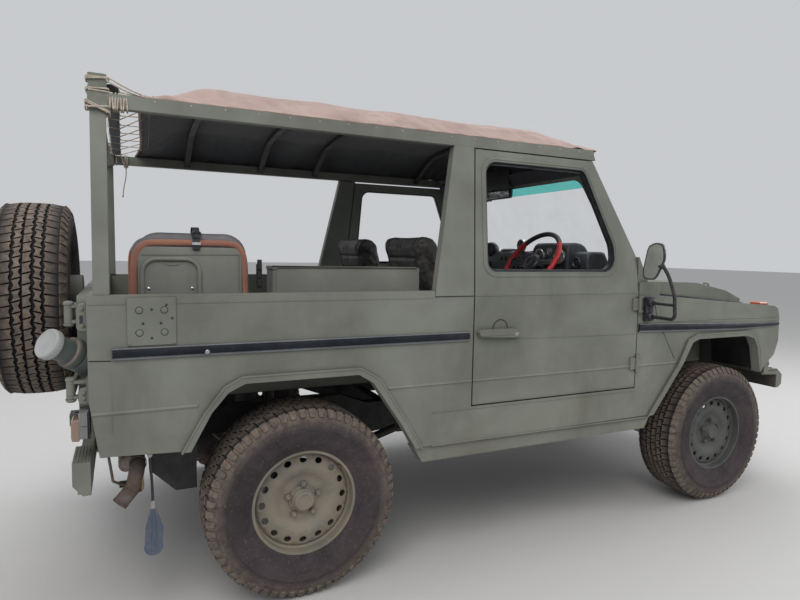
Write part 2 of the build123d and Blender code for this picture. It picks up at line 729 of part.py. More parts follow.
SHAFT_Y = -150
DIFF_R = 120
GEARBOX_R = 65
GEARBOX_Z = 609.3
SHAFT_R = 28
SHAFT_Z = 480
TRANSFER = (WHEELBASE - 1520, WHEELBASE - 1220)


def rod(start, end, radius):
    """A round bar between two points given as station, y and height."""
    a = Vector(REAR_AXLE_X + start[0], start[1], start[2])
    b = Vector(REAR_AXLE_X + end[0], end[1], end[2])
    with BuildPart(mode=Mode.PRIVATE) as bar:
        with BuildSketch(Plane(origin=a, z_dir=b - a)):
            Circle(radius)
        extrude(amount=(b - a).length)
    return bar.part


with BuildPart() as gearbox_and_shafts:
    with BuildSketch(across(WHEELBASE - 360)):
        with Locations((0, GEARBOX_Z)):
            Circle(GEARBOX_R)
    extrude(amount=-(WHEELBASE - 360 - TRANSFER[1]))
    with BuildSketch(side(60)):
        Polygon((TRANSFER[0], 440), (TRANSFER[1], 440), (TRANSFER[1], 665), (TRANSFER[0], 665))
    extrude(amount=300)
    add(rod((TRANSFER[1] - 10, SHAFT_Y, SHAFT_Z), (WHEELBASE - DIFF_R - 2, SHAFT_Y, TYRE_R + 20), SHAFT_R))
    add(rod((TRANSFER[0] + 10, SHAFT_Y, SHAFT_Z), (DIFF_R + 2, SHAFT_Y, TYRE_R + 20), SHAFT_R))
keep(gearbox_and_shafts.part, "gearbox_and_shafts")

TANK = [(-560, 655), (-395, 655), (-395, 470), (-470, 470), (-560, 560)]
TANK_W = 330

with BuildPart() as fuel_tank:
    with BuildSketch(side(-RAIL_Y - RAIL_W / 2 - SEAT_FIT)):
        Polygon(*TANK)
    extrude(amount=TANK_W)
keep(fuel_tank.part, "fuel_tank")

# Exhaust: the silencer on the left; its tail pipe crosses under the rails and turns down at the right.
# A bent hanger from the body's rear edge holds its end.
SILENCER = (-510, 560)
SILENCER_R = (90, 65)
SILENCER_Y = (390, 720)
PIPE_R = 28
UNDER_RAILS = RAIL_TOP - RAIL_H - PIPE_R - RUNNING_GAP
TAIL_PIPE = [
    # station, y, height
    (-580, 560, 545), (-650, 560, 545), (-650, 430, UNDER_RAILS), (-640, -400, UNDER_RAILS),
    (-598, -520, 556), (-598, -606, 556), (-614, -626, 478), (-664, -640, 424),
]
TAIL_BEND = 48
HANGER_R = 5
HANGER = [
    # station, y, height
    (-700, -600, REAR_LOW - SEAT_FIT), (-700, -600, 620), (-684, -600, 500), (-644, -604, 480),
    (-620, -612, 500),
]

with BuildPart() as exhaust:
    with BuildSketch(side(SILENCER_Y[1])):
        with Locations(SILENCER):
            Ellipse(*SILENCER_R)
    extrude(amount=SILENCER_Y[1] - SILENCER_Y[0])
    with BuildSketch(across(SILENCER[0] + 80)):
        with Locations((500, SILENCER[1])):
            Circle(PIPE_R)
    extrude(amount=300)
    with BuildSketch(side(RAIL_Y + RAIL_W / 2 + SEAT_FIT)):
        with Locations((SILENCER[0], SILENCER[1] + 30)):
            Rectangle(40, 40)
    extrude(amount=-40)
    with BuildLine():
        tail = FilletPolyline([(REAR_AXLE_X + x, y, z) for x, y, z in TAIL_PIPE], radius=TAIL_BEND)
    with BuildSketch(Plane(origin=tail @ 0, z_dir=tail % 0)):
        Circle(PIPE_R)
    sweep()
    for start, end in zip(HANGER, HANGER[1:]):
        add(rod(start, end, HANGER_R))
keep(exhaust.part, "exhaust")

# Hanging strap with a leaf-shaped blade, and the free end of the lacing rope on the left rail
STRAP_R = 5
STRAP_ROUTE = [
    # station, y, height
    (STRAP_X, STRAP_Y, LOAD_FLOOR - CLIP_H), (STRAP_X, STRAP_Y, 690), (STRAP_X - 3, STRAP_Y + 1, 605),
    (STRAP_X + 6, STRAP_Y, 515), (STRAP_X + 6, STRAP_Y, 432),
]
BLADE_T = 5
BLADE = [
    # station from the strap's end, height above it: down the rear edge, and back up by the front edge
    (-29, -142), (-27, -84), (-6, 0), (6, 0), (36, -88), (31, -142),
]
BLADE_TIP = (-6, -188)
ROPE_R = 3
KNOT_R = 13
KNOT_H = 14
ROPE_ROUTE = [
    # station, y, height
    (-611, 735, ROOF_LOW - KNOT_H), (-611, 735, 1800), (-614, 734, 1765), (-622, 733, 1730),
    (-628, 733, 1695), (-630, 733, 1661),
]
RUN_SHARE = 0.45


def cord(route, radius):
    """A round cord along a route of (station, y, height), in straight runs joined by wide arcs."""
    points = [Vector(REAR_AXLE_X + x, y, z) for x, y, z in route]
    bends = []
    for before, corner, after in zip(points, points[1:], points[2:]):
        turn = math.radians((corner - before).get_angle(after - corner))
        shorter = min((corner - before).length, (after - corner).length)
        bends.append(RUN_SHARE * shorter / math.tan(turn / 2))
    print("radii of a cord's bends", [round(bend) for bend in bends])
    with BuildPart(mode=Mode.PRIVATE) as tube:
        with BuildLine():
            path = FilletPolyline(points, radius=bends)
        with BuildSketch(Plane(origin=path @ 0, z_dir=path % 0)):
            Circle(radius)
        sweep()
    print("length", round(path.length), "volume over section times length",
          round(tube.part.volume / (math.pi * radius * radius * path.length), 4))
    return tube.part


with BuildPart() as strap:
    add(cord(STRAP_ROUTE, STRAP_R))
keep(strap.part, "strap")

with BuildPart() as strap_blade:
    end_x, end_y, end_z = STRAP_ROUTE[-1]
    edge = [(end_x + x, end_z + z) for x, z in BLADE]
    tip = (end_x + BLADE_TIP[0], end_z + BLADE_TIP[1])
    with BuildSketch(side(end_y + BLADE_T / 2)):
        with BuildLine():
            Polyline(*edge)
            ThreePointArc(edge[-1], tip, edge[0])
        make_face()
    extrude(amount=BLADE_T)
keep(strap_blade.part, "strap_blade")

with BuildPart() as rope_knot:
    with BuildSketch(level(ROOF_LOW)):
        with Locations(ROPE_ROUTE[0][:2]):
            Circle(KNOT_R)
    extrude(amount=-KNOT_H)
keep(rope_knot.part, "rope_knot")

with BuildPart() as rope_tail:
    add(cord(ROPE_ROUTE, ROPE_R))
keep(rope_tail.part, "rope_tail")

# Axles: the tubes with the differential, and at the front the yokes for the kingpins
AXLE_R = 45
YOKE_T = 16
KNUCKLE_H = 186

with BuildPart() as front_axle:
    with BuildSketch(Plane.XZ.offset(-KINGPIN_Y + 70)):
        with Locations((REAR_AXLE_X + WHEELBASE, TYRE_R)):
            Circle(AXLE_R)
    extrude(amount=2 * (KINGPIN_Y - 70))
    with Locations((REAR_AXLE_X + WHEELBASE, SHAFT_Y, TYRE_R)):
        Sphere(DIFF_R)
    for y in (-KINGPIN_Y, KINGPIN_Y):
        inner = math.copysign(KINGPIN_Y - 65, y)
        with BuildSketch(Plane.XY.offset(TYRE_R - KNUCKLE_H / 2 - RUNNING_GAP - YOKE_T)):
            with Locations((REAR_AXLE_X + WHEELBASE, (y + inner) / 2)):
                Rectangle(70, abs(y - inner))
            with Locations((REAR_AXLE_X + WHEELBASE, y)):
                Circle(35)
        extrude(amount=YOKE_T)
        with BuildSketch(Plane.XY.offset(TYRE_R + KNUCKLE_H / 2 + RUNNING_GAP)):
            with Locations((REAR_AXLE_X + WHEELBASE, (y + inner) / 2)):
                Rectangle(70, abs(y - inner))
            with Locations((REAR_AXLE_X + WHEELBASE, y)):
                Circle(35)
        extrude(amount=YOKE_T)
        with BuildSketch(Plane.XY.offset(TYRE_R - KNUCKLE_H / 2 - RUNNING_GAP - YOKE_T)):
            with Locations((REAR_AXLE_X + WHEELBASE, inner - math.copysign(10, y))):
                Rectangle(70, 20)
        extrude(amount=KNUCKLE_H + 2 * RUNNING_GAP + 2 * YOKE_T)
        with BuildSketch(Plane.XY):
            with Locations((REAR_AXLE_X + WHEELBASE, y)):
                Circle(15.1)
        extrude(amount=700, mode=Mode.SUBTRACT)
keep(front_axle.part, "front_axle")

with BuildPart() as rear_axle:
    with BuildSketch(Plane.XZ.offset(-WHEEL_Y + 20)):
        with Locations((REAR_AXLE_X, TYRE_R)):
            Circle(AXLE_R)
    extrude(amount=2 * (WHEEL_Y - 20))
    with Locations((REAR_AXLE_X, SHAFT_Y, TYRE_R)):
        Sphere(DIFF_R)
    for y in (-1, 1):
        with BuildSketch(Plane(origin=(REAR_AXLE_X, y * (WHEEL_Y - 60), TYRE_R), z_dir=(0, y, 0))):
            Circle(130)
        extrude(amount=50)
        with BuildSketch(Plane(origin=(REAR_AXLE_X, y * (WHEEL_Y - 60), TYRE_R), z_dir=(0, y, 0))):
            Circle(HUB_R - WHEEL_FIT)
        extrude(amount=60 + DISC_OFFSET + 12)
keep(rear_axle.part, "rear_axle")

with BuildPart() as knuckle_right:
    with BuildSketch(Plane.XY.offset(TYRE_R - KNUCKLE_H / 2)):
        with Locations((REAR_AXLE_X + WHEELBASE, -KINGPIN_Y)):
            Circle(50)
    extrude(amount=KNUCKLE_H)
    with BuildSketch(Plane.XY.offset(TYRE_R - KNUCKLE_H / 2 - RUNNING_GAP - YOKE_T)):
        with Locations((REAR_AXLE_X + WHEELBASE, -KINGPIN_Y)):
            Circle(15)
    extrude(amount=KNUCKLE_H + 2 * RUNNING_GAP + 2 * YOKE_T)
    with BuildSketch(Plane(origin=(REAR_AXLE_X + WHEELBASE, -WHEEL_Y + 45, TYRE_R), z_dir=(0, -1, 0))):
        Circle(120)
    extrude(amount=30)
    with BuildSketch(Plane(origin=(REAR_AXLE_X + WHEELBASE, -KINGPIN_Y, TYRE_R), z_dir=(0, -1, 0))):
        Circle(HUB_R - WHEEL_FIT)
    extrude(amount=WHEEL_Y - KINGPIN_Y + DISC_OFFSET + 12)
    with BuildSketch(Plane.XY.offset(TYRE_R - 60)):
        with Locations((REAR_AXLE_X + WHEELBASE - STEER_ARM / 2, -KINGPIN_Y)):
            Rectangle(STEER_ARM, 30)
        with Locations((REAR_AXLE_X + WHEELBASE - STEER_ARM, -KINGPIN_Y)):
            Circle(22)
            Circle(8.1, mode=Mode.SUBTRACT)
    extrude(amount=18)
keep(knuckle_right.part, "knuckle_right")

with BuildPart() as knuckle_left:
    add(mirror(knuckle_right.part, about=Plane.XZ))
keep(knuckle_left.part, "knuckle_left")

with BuildPart() as tie_rod:
    with BuildSketch(Plane.XZ.offset(-KINGPIN_Y)):
        with Locations((REAR_AXLE_X + WHEELBASE - STEER_ARM, TYRE_R - 60 - 22)):
            Circle(TIE_ROD_R)
    extrude(amount=2 * KINGPIN_Y)
    with BuildSketch(Plane.XY.offset(TYRE_R - 60 - 22)):
        for y in (-KINGPIN_Y, KINGPIN_Y):
            with Locations((REAR_AXLE_X + WHEELBASE - STEER_ARM, y)):
                Circle(8)
    extrude(amount=40)
keep(tie_rod.part, "tie_rod")

# Suspension: coil spring envelopes, their seats on the rails, and the radius arms
SPRING_Y = 450
ARM_Y = 345
SPRINGS = [
    # station, spring radius, seat height
    (0, 62, 676),
    (WHEELBASE, 58, 646),
]
ARMS = [
    # station at the axle, station at the rail, height at the rail
    (0, 640, 500),
    (WHEELBASE, WHEELBASE - 640, 500),
]

with BuildPart() as suspension:
    for x, r, top in SPRINGS:
        for y in (-SPRING_Y, SPRING_Y):
            add(rod((x, y, TYRE_R + AXLE_R), (x, y, top), r))
            inner = math.copysign(RAIL_Y + RAIL_W / 2, y)
            outer = math.copysign(SPRING_Y + r, y)
            with BuildSketch(level(top)):
                with Locations((x, (inner + outer) / 2)):
                    Rectangle(2 * r, abs(outer - inner))
            extrude(amount=SHEET)
    for axle_x, rail_x, z in ARMS:
        for y in (-ARM_Y, ARM_Y):
            add(rod((axle_x, y, TYRE_R - AXLE_R - 24), (rail_x, y, z), 20))
            with BuildSketch(side(y + 15)):
                Polygon(
                    (rail_x - 35, z - 30), (rail_x + 35, z - 30),
                    (rail_x + 45, RAIL_TOP - RAIL_H), (rail_x - 45, RAIL_TOP - RAIL_H),
                )
            extrude(amount=30)
keep(suspension.part, "suspension")

# Wheels: tyre and steel rim, made once about the Y axis with the outer face towards -Y
VENT_COUNT = 16
VENT_R = 12
VENT_PITCH_R = 165
NUT_COUNT = 5
NUT_PITCH_R = 65
BEAD_Y = LIP_OFFSET - RIM_T - SEAT_FIT
DISC_FACE = -DISC_OFFSET - RIM_T

with BuildPart() as tyre:
    with BuildSketch(Plane.YX):
        with BuildLine():
            Polyline(
                (-BEAD_Y, BEAD_R), (-BEAD_Y, LIP_R + 4), (-LIP_OFFSET - 4, LIP_R + 6),
            )
            ThreePointArc((-LIP_OFFSET - 4, LIP_R + 6), (-TYRE_W / 2, 300), (-TREAD_W / 2 - 8, TYRE_R - 14))
            Polyline(
                (-TREAD_W / 2 - 8, TYRE_R - 14), (-TREAD_W / 2 + 10, TYRE_R), (TREAD_W / 2 - 10, TYRE_R),
                (TREAD_W / 2 + 8, TYRE_R - 14),
            )
            ThreePointArc((TREAD_W / 2 + 8, TYRE_R - 14), (TYRE_W / 2, 300), (LIP_OFFSET + 4, LIP_R + 6))
            Polyline(
                (LIP_OFFSET + 4, LIP_R + 6), (BEAD_Y, LIP_R + 4), (BEAD_Y, BEAD_R),
                (-BEAD_Y, BEAD_R),
            )
        make_face()
    revolve(axis=Axis.Y)

with BuildPart() as rim:
    with BuildSketch(Plane.YX):
        Polygon(
            (-LIP_OFFSET, LIP_R), (-LIP_OFFSET + RIM_T, LIP_R), (-LIP_OFFSET + RIM_T, BEAD_R - 0.3),
            (LIP_OFFSET - RIM_T, BEAD_R - 0.3), (LIP_OFFSET - RIM_T, LIP_R), (LIP_OFFSET, LIP_R),
            (LIP_OFFSET, BEAD_R - RIM_T), (-LIP_OFFSET, BEAD_R - RIM_T),
        )
        Polygon(
            (-DISC_OFFSET, HUB_R), (DISC_FACE, HUB_R), (DISC_FACE, 92), (-DISC_OFFSET - 24, 130),
            (-DISC_OFFSET - 18, 185), (-DISC_OFFSET + 4, BEAD_R - 2), (-DISC_OFFSET + 16, BEAD_R - 2),
            (-DISC_OFFSET - 10, 183), (-DISC_OFFSET - 16, 132), (-DISC_OFFSET, 94),
        )
        Polygon(
            (DISC_FACE, HUB_R + 12), (DISC_FACE - 32, HUB_R + 4), (DISC_FACE - 38, HUB_R - 8),
            (DISC_FACE - 38, 0), (DISC_FACE - 30, 0), (DISC_FACE - 24, HUB_R),
            (DISC_FACE, HUB_R),
        )
    revolve(axis=Axis.Y)
    with BuildSketch(Plane.XZ.offset(DISC_OFFSET + RIM_T)):
        with PolarLocations(NUT_PITCH_R, NUT_COUNT):
            RegularPolygon(11, 6)
    extrude(amount=18)
    with BuildSketch(Plane.XZ):
        with PolarLocations(VENT_PITCH_R, VENT_COUNT):
            Circle(VENT_R)
    extrude(amount=DISC_OFFSET + 60, mode=Mode.SUBTRACT)

WHEELS = [
    # name, station, y, turned round
    ("front_right", WHEELBASE, -WHEEL_Y, False),
    ("front_left", WHEELBASE, WHEEL_Y, True),
    ("rear_right", 0, -WHEEL_Y, False),
    ("rear_left", 0, WHEEL_Y, True),
]
for name, x, y, turned in WHEELS:
    place = Location((REAR_AXLE_X + x, y, TYRE_R), (0, 0, 180 if turned else 0))
    keep(tyre.part.moved(place), f"tyre_{name}")
    keep(rim.part.moved(place), f"rim_{name}")

SPARE_X = -REAR_OVERHANG + TYRE_W / 2
SPARE_Y = -200
SPARE_Z = 1165
spare_place = Location((REAR_AXLE_X + SPARE_X, SPARE_Y, SPARE_Z), (0, 0, -90))
keep(tyre.part.moved(spare_place), "tyre_spare")
keep(rim.part.moved(spare_place), "rim_spare")

# Doors: flat below the belt, leaning frame with the window above, handle and hinge leaves
DOOR_UPPER = [
    (DOOR_REAR, BELT), (DOOR_REAR + DOOR_LEAN, ROOF_LOW - PANEL_GAP),
    (pillar_x(ROOF_LOW) - 10, ROOF_LOW - PANEL_GAP),
    (DOOR_FRONT, POST_FOOT - 2), (DOOR_FRONT, BELT),
]
WINDOW_LOW = 1300
WINDOW_TOP = 1790
WINDOW = [
    # station, height, corner radius
    (DOOR_REAR + 71, WINDOW_LOW, 45),
    (DOOR_REAR + 87, WINDOW_TOP, 60),
    (HEADER - 66, WINDOW_TOP, 45),
    (DOOR_FRONT - 147, 1430, 120),
    (DOOR_FRONT - 144, WINDOW_LOW, 75),
]
HANDLE = (DOOR_REAR + 113, 1036, 200, 26)

with BuildPart() as door_right:
    with BuildSketch(side(-HALF + WALL)):
        Polygon((DOOR_REAR, DOOR_LOW), (DOOR_FRONT, DOOR_LOW), (DOOR_FRONT, BELT), (DOOR_REAR, BELT))
    extrude(amount=WALL)
    with BuildSketch(leaning(WALL)) as door_frame:
        Polygon(*[(x, up(z)) for x, z in DOOR_UPPER])
    extrude(amount=WALL)
    with BuildSketch(leaning(WALL)) as window:
        Polygon(*[(x, up(z)) for x, z, _ in WINDOW])
        for x, z, r in WINDOW:
            fillet(window.vertices().sort_by_distance((x, up(z)))[0], r)
    extrude(amount=WALL, mode=Mode.SUBTRACT)
    add(crease(DOOR_REAR, DOOR_FRONT))
    with BuildSketch(side(-HALF)):
        with Locations(HANDLE[:2]):
            SlotOverall(*HANDLE[2:])
    extrude(amount=HANDLE[3])
    for z in HINGES:
        with BuildSketch(level(z)):
            with Locations((HINGE_X, -HINGE_Y)):
                Circle(HINGE_R)
            with Locations((HINGE_X - 22, -HALF - 4)):
                Rectangle(40, 8)
        extrude(amount=HINGE_H)
keep(door_right.part, "door_right")

with BuildPart() as door_left:
    add(mirror(door_right.part, about=Plane.XZ))
keep(door_left.part, "door_left")

# Rear door: half height, hung on two long hinge arms at the right, with the spare wheel's carrier
REAR_HINGE_X = -800
REAR_HINGE_Y = -780
REAR_HINGE_R = 14
REAR_HINGES = [870, 1125]
REAR_EAR = 11
REAR_BARREL = 40
REAR_DOOR_Y = 612
REAR_DOOR = (LOAD_FLOOR - 10, BELT + 12)
REAR_DOOR_X = BODY_REAR - RUNNING_GAP
REAR_DOOR_T = 38
CARRIER_R = 95

with BuildPart() as rear_door:
    with BuildSketch(across(REAR_DOOR_X)) as rear_skin:
        with Locations((0, sum(REAR_DOOR) / 2)):
            RectangleRounded(2 * REAR_DOOR_Y, REAR_DOOR[1] - REAR_DOOR[0], 30)
    extrude(amount=-REAR_DOOR_T)
    for z in REAR_HINGES:
        with BuildSketch(level(z + REAR_EAR + SEAT_FIT)):
            with Locations((REAR_DOOR_X - REAR_DOOR_T - 6, (REAR_HINGE_Y - 560) / 2)):
                Rectangle(12, -560 - REAR_HINGE_Y)
            with Locations((REAR_HINGE_X, REAR_HINGE_Y)):
                Circle(REAR_HINGE_R)
        extrude(amount=REAR_BARREL - 2 * SEAT_FIT)
    with BuildSketch(across(REAR_DOOR_X - REAR_DOOR_T)):
        with Locations((SPARE_Y, SPARE_Z)):
            Circle(CARRIER_R)
    extrude(amount=-(REAR_DOOR_X - REAR_DOOR_T - SPARE_X + DISC_OFFSET - 0.3))
keep(rear_door.part, "rear_door")

with BuildPart() as rear_hinges:
    for z in REAR_HINGES:
        for ear_z in (z, z + REAR_EAR + REAR_BARREL):
            with BuildSketch(level(ear_z)):
                with Locations((REAR_HINGE_X, REAR_HINGE_Y)):
                    Circle(REAR_HINGE_R)
                with Locations(((REAR_HINGE_X + BODY_REAR) / 2, REAR_HINGE_Y)):
                    Rectangle(BODY_REAR - REAR_HINGE_X, 22)
            extrude(amount=REAR_EAR)
        with BuildSketch(across(BODY_REAR)):
            with Locations((REAR_HINGE_Y, z + 31)):
                Rectangle(60, 80)
        extrude(amount=-8)
keep(rear_hinges.part, "rear_hinges")

# Fuel filler: a capped neck that leaves the right rear corner, outward and up
FILLER_FROM = (BODY_REAR, -705, 985)
FILLER_TO = (-857, -797, 1060)

with BuildPart() as fuel_filler:
    add(rod((-735, -697, 978), FILLER_TO, 40))
    add(rod((-800, -750, 1022), (-818, -765, 1034), 52))
    add(rod(FILLER_TO, (-868, -806, 1067), 50))
    split(bisect_by=Plane(origin=(REAR_AXLE_X + BODY_REAR, 0, 0), z_dir=(-1, 0, 0)), keep=Keep.TOP)
keep(fuel_filler.part, "fuel_filler")

# Dashboard with the instrument pod and the steering column
WHEEL_SW = (DOOR_FRONT - 302, -370, 1337)
WHEEL_SW_R = 205
COLUMN_TILT = 35
COLUMN_START = 55
COLUMN = Vector(math.cos(math.radians(COLUMN_TILT)), 0, -math.sin(math.radians(COLUMN_TILT)))

with BuildPart() as dashboard:
    with BuildSketch(side(COWL_Y - 50 - SEAT_FIT)):
        Polygon(
            (DOOR_FRONT - 117, 1060), (DOOR_FRONT - 157, 1100), (DOOR_FRONT - 167, 1225),
            (DOOR_FRONT - 142, 1245),
            (DOOR_FRONT, 1245), (DOOR_FRONT, 1198), (BULKHEAD_X - 2, 1198), (BULKHEAD_X - 2, 1060),
        )
    extrude(amount=2 * (COWL_Y - 50 - SEAT_FIT))
    with BuildSketch(side(-200)):
        Polygon(
            (DOOR_FRONT - 190, 1200), (DOOR_FRONT - 200, 1330), (DOOR_FRONT - 172, 1400),
            (DOOR_FRONT - 102, 1412), (DOOR_FRONT - 62, 1350), (DOOR_FRONT - 42, 1240),
        )
    extrude(amount=340)
    column_top = Vector(*WHEEL_SW) + COLUMN * COLUMN_START
    column_low = Vector(*WHEEL_SW) + COLUMN * 240
    add(rod((column_top.X, column_top.Y, column_top.Z), (column_low.X, column_low.Y, column_low.Z), 26))
keep(dashboard.part, "dashboard")

SW_PLANE = Plane(
    origin=(REAR_AXLE_X + WHEEL_SW[0], WHEEL_SW[1], WHEEL_SW[2]),
    x_dir=(0, 1, 0), z_dir=COLUMN,
)
with BuildPart() as steering_wheel:
    with BuildSketch(Plane(origin=SW_PLANE.origin, x_dir=(0, 1, 0), z_dir=SW_PLANE.y_dir)):
        with Locations((WHEEL_SW_R - 14, 0)):
            Circle(14)
    revolve(axis=Axis(SW_PLANE.origin, SW_PLANE.z_dir))
    with BuildSketch(SW_PLANE.offset(4)):
        Circle(46)
        for turn in (0, 90, 180):
            reach = Vector(95, 0, 0).rotate(Axis.Z, turn)
            with Locations(Location(tuple(reach), turn)):
                Rectangle(190, 30)
    extrude(amount=12)
    with BuildSketch(SW_PLANE.offset(4)):
        Circle(24)
    extrude(amount=COLUMN_START - 4 - SEAT_FIT)
keep(steering_wheel.part, "steering_wheel")

# Seats: front plinths and the folded rear seats' pans, with their pads
SEAT_Y = 370
SEAT_W = 480
PLINTH = (DOOR_REAR + 23, DOOR_REAR + 443, FLOOR + SHEET, 930)
PLINTH_IN = 60
CUSHION_X = DOOR_REAR + 223
CUSHION = (470, 120)
FOLD_X = (-600, -175)
FOLD_Z = (1010, 1430)
FOLD_Y = 640
PAN_T = 14
PAD_T = 60
SEAT_ROUND = 60
BACK_LOW = PLINTH[3] + CUSHION[1] + 2 * SEAT_FIT
FOLD_LEG = 30
FOLD_LEG_LOW = 920
HOOP_X = (-572, -372)
HOOP_Z = (FOLD_Z[0] + 30, 1338)
HOOP_R = 8
HOOP_BEND = 48


def hoop(y):
    """The bent tube on the outer face of a folded seat, at y."""
    with BuildPart(mode=Mode.PRIVATE) as bent:
        with BuildLine():
            line = FilletPolyline(
                (REAR_AXLE_X + HOOP_X[0], y, HOOP_Z[0]), (REAR_AXLE_X + HOOP_X[0], y, HOOP_Z[1]),
                (REAR_AXLE_X + HOOP_X[1], y, HOOP_Z[1]), (REAR_AXLE_X + HOOP_X[1], y, HOOP_Z[0]),
                radius=HOOP_BEND,
            )
        with BuildSketch(Plane(origin=line @ 0, z_dir=line % 0)):
            Circle(HOOP_R)
        sweep()
    return bent.part



with BuildPart() as seat_frames:
    for y in (-SEAT_Y, SEAT_Y):
        with BuildSketch(level(PLINTH[2])):
            with Locations(((PLINTH[0] + PLINTH[1]) / 2, y)):
                Rectangle(PLINTH[1] - PLINTH[0], SEAT_W - PLINTH_IN)
        extrude(amount=PLINTH[3] - PLINTH[2])
    for y in (-FOLD_Y + PAN_T, FOLD_Y):
        with BuildSketch(side(y)):
            with Locations((sum(FOLD_X) / 2, sum(FOLD_Z) / 2)):
                RectangleRounded(FOLD_X[1] - FOLD_X[0], FOLD_Z[1] - FOLD_Z[0], SEAT_ROUND)
            for leg_x in (sum(FOLD_X) / 2 - 120, sum(FOLD_X) / 2 + 120):
                with Locations((leg_x, (FOLD_Z[0] + FOLD_LEG_LOW) / 2)):
                    Rectangle(FOLD_LEG, FOLD_Z[0] - FOLD_LEG_LOW)
        extrude(amount=PAN_T)
    for y in (-FOLD_Y, FOLD_Y):
        add(hoop(y))
keep(seat_frames.part, "seat_frames")

with BuildPart() as seat_pads:
    for y in (-SEAT_Y, SEAT_Y):
        with BuildSketch(level(PLINTH[3] + SEAT_FIT)):
            with Locations((CUSHION_X, y)):
                RectangleRounded(CUSHION[0], SEAT_W, SEAT_ROUND)
        extrude(amount=CUSHION[1])
        with BuildSketch(side(y + SEAT_W / 2)):
            Polygon(
                (CUSHION_X - 260, BACK_LOW), (CUSHION_X - 370, 1440), (CUSHION_X - 348, 1470),
                (CUSHION_X - 292, 1470),
                (CUSHION_X - 268, 1450), (CUSHION_X - 160, BACK_LOW),
            )
        extrude(amount=SEAT_W)
    for y in (-FOLD_Y + PAN_T + SEAT_FIT + PAD_T, FOLD_Y - PAN_T - SEAT_FIT):
        with BuildSketch(side(y)):
            with Locations((sum(FOLD_X) / 2, sum(FOLD_Z) / 2 + 4)):
                RectangleRounded(FOLD_X[1] - FOLD_X[0] - 8, FOLD_Z[1] - FOLD_Z[0] + 30, SEAT_ROUND)
        extrude(amount=PAD_T)
keep(seat_pads.part, "seat_pads")

LOCKER = (-95, STEP_X + 15, 920, 1310)
LOCKER_T = 110
with BuildPart() as locker:
    with BuildSketch(side(-HOUSE_Y - 15)):
        Polygon(
            (LOCKER[0], LOCKER[2]), *HOUSE[4:], (LOCKER[1] - 15, LOCKER[3]), (LOCKER[0], LOCKER[3]),
        )
    extrude(amount=LOCKER_T)
keep(locker.part, "locker")

# Rub strips along the belt
STRIPS = [
    [(-672, 1004), (DOOR_REAR - 27, 1004), (DOOR_REAR - 27, 1044), (-672, 1044)],
    [
        (DOOR_FRONT + 10, 998), (WHEELBASE + 80, 979), (BODY_FRONT - 16, 992),
        (BODY_FRONT - 16, 1016), (WHEELBASE + 80, 1021), (DOOR_FRONT + 10, 1043),
    ],
]
STRIP_T = 12
with BuildPart() as rub_strips:
    for strip in STRIPS:
        with BuildSketch(side(-HALF)):
            Polygon(*strip)
        extrude(amount=STRIP_T)
    mirror(about=Plane.XZ)
keep(rub_strips.part, "rub_strips")

# Mirrors on bent tube arms, carried by the front corner of the body beside each door
MIRROR_X = DOOR_FRONT + 63
MIRROR_Y = -942
MIRROR_Z = 1355
MIRROR_FACE = (0.97, 0.24)
MIRROR_T = 26
MIRROR_ROUND = 15
MIRROR_HEAD = [
    # outwards from the middle, up
    (-34, 74), (4, 95), (42, 86), (54, 44), (53, 2), (10, -88), (-42, -88), (-57, -62),
]
ARM_FOOT = HALF + 20
ARM_OUT = 1022
MIRROR_ARM_R = 7
ARM_LOW = 1078
ARM_HIGH = 1148

with BuildPart() as mirrors:
    with BuildSketch(side(-HALF)):
        with Locations((MIRROR_X - 2, (ARM_LOW + ARM_HIGH) / 2)):
            Rectangle(55, ARM_HIGH - ARM_LOW + 34)
    extrude(amount=34)
    with BuildLine():
        arm = FilletPolyline(
            (REAR_AXLE_X + MIRROR_X, -ARM_FOOT, ARM_LOW), (REAR_AXLE_X + MIRROR_X, -ARM_OUT, ARM_LOW),
            (REAR_AXLE_X + MIRROR_X - 10, -ARM_OUT, 1180),
            (REAR_AXLE_X + MIRROR_X - 62, MIRROR_Y - 36, MIRROR_Z - 10), radius=30,
        )
    with BuildSketch(Plane(origin=arm @ 0, z_dir=arm % 0)):
        Circle(MIRROR_ARM_R)
    sweep()
    add(rod((MIRROR_X - 3, -ARM_FOOT, ARM_HIGH), (MIRROR_X - 7, -ARM_OUT, ARM_HIGH), MIRROR_ARM_R - 0.5))
    with BuildSketch(
        Plane(
            origin=(REAR_AXLE_X + MIRROR_X - 75, MIRROR_Y, MIRROR_Z),
            x_dir=(MIRROR_FACE[1], -MIRROR_FACE[0], 0), z_dir=(*MIRROR_FACE, 0),
        )
    ) as head:
        Polygon(*MIRROR_HEAD)
        fillet(head.vertices(), MIRROR_ROUND)
    extrude(amount=MIRROR_T)
    mirror(about=Plane.XZ)
keep(mirrors.part, "mirrors")
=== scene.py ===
import math

import bmesh
import bpy
from mathutils import Matrix, Vector, noise


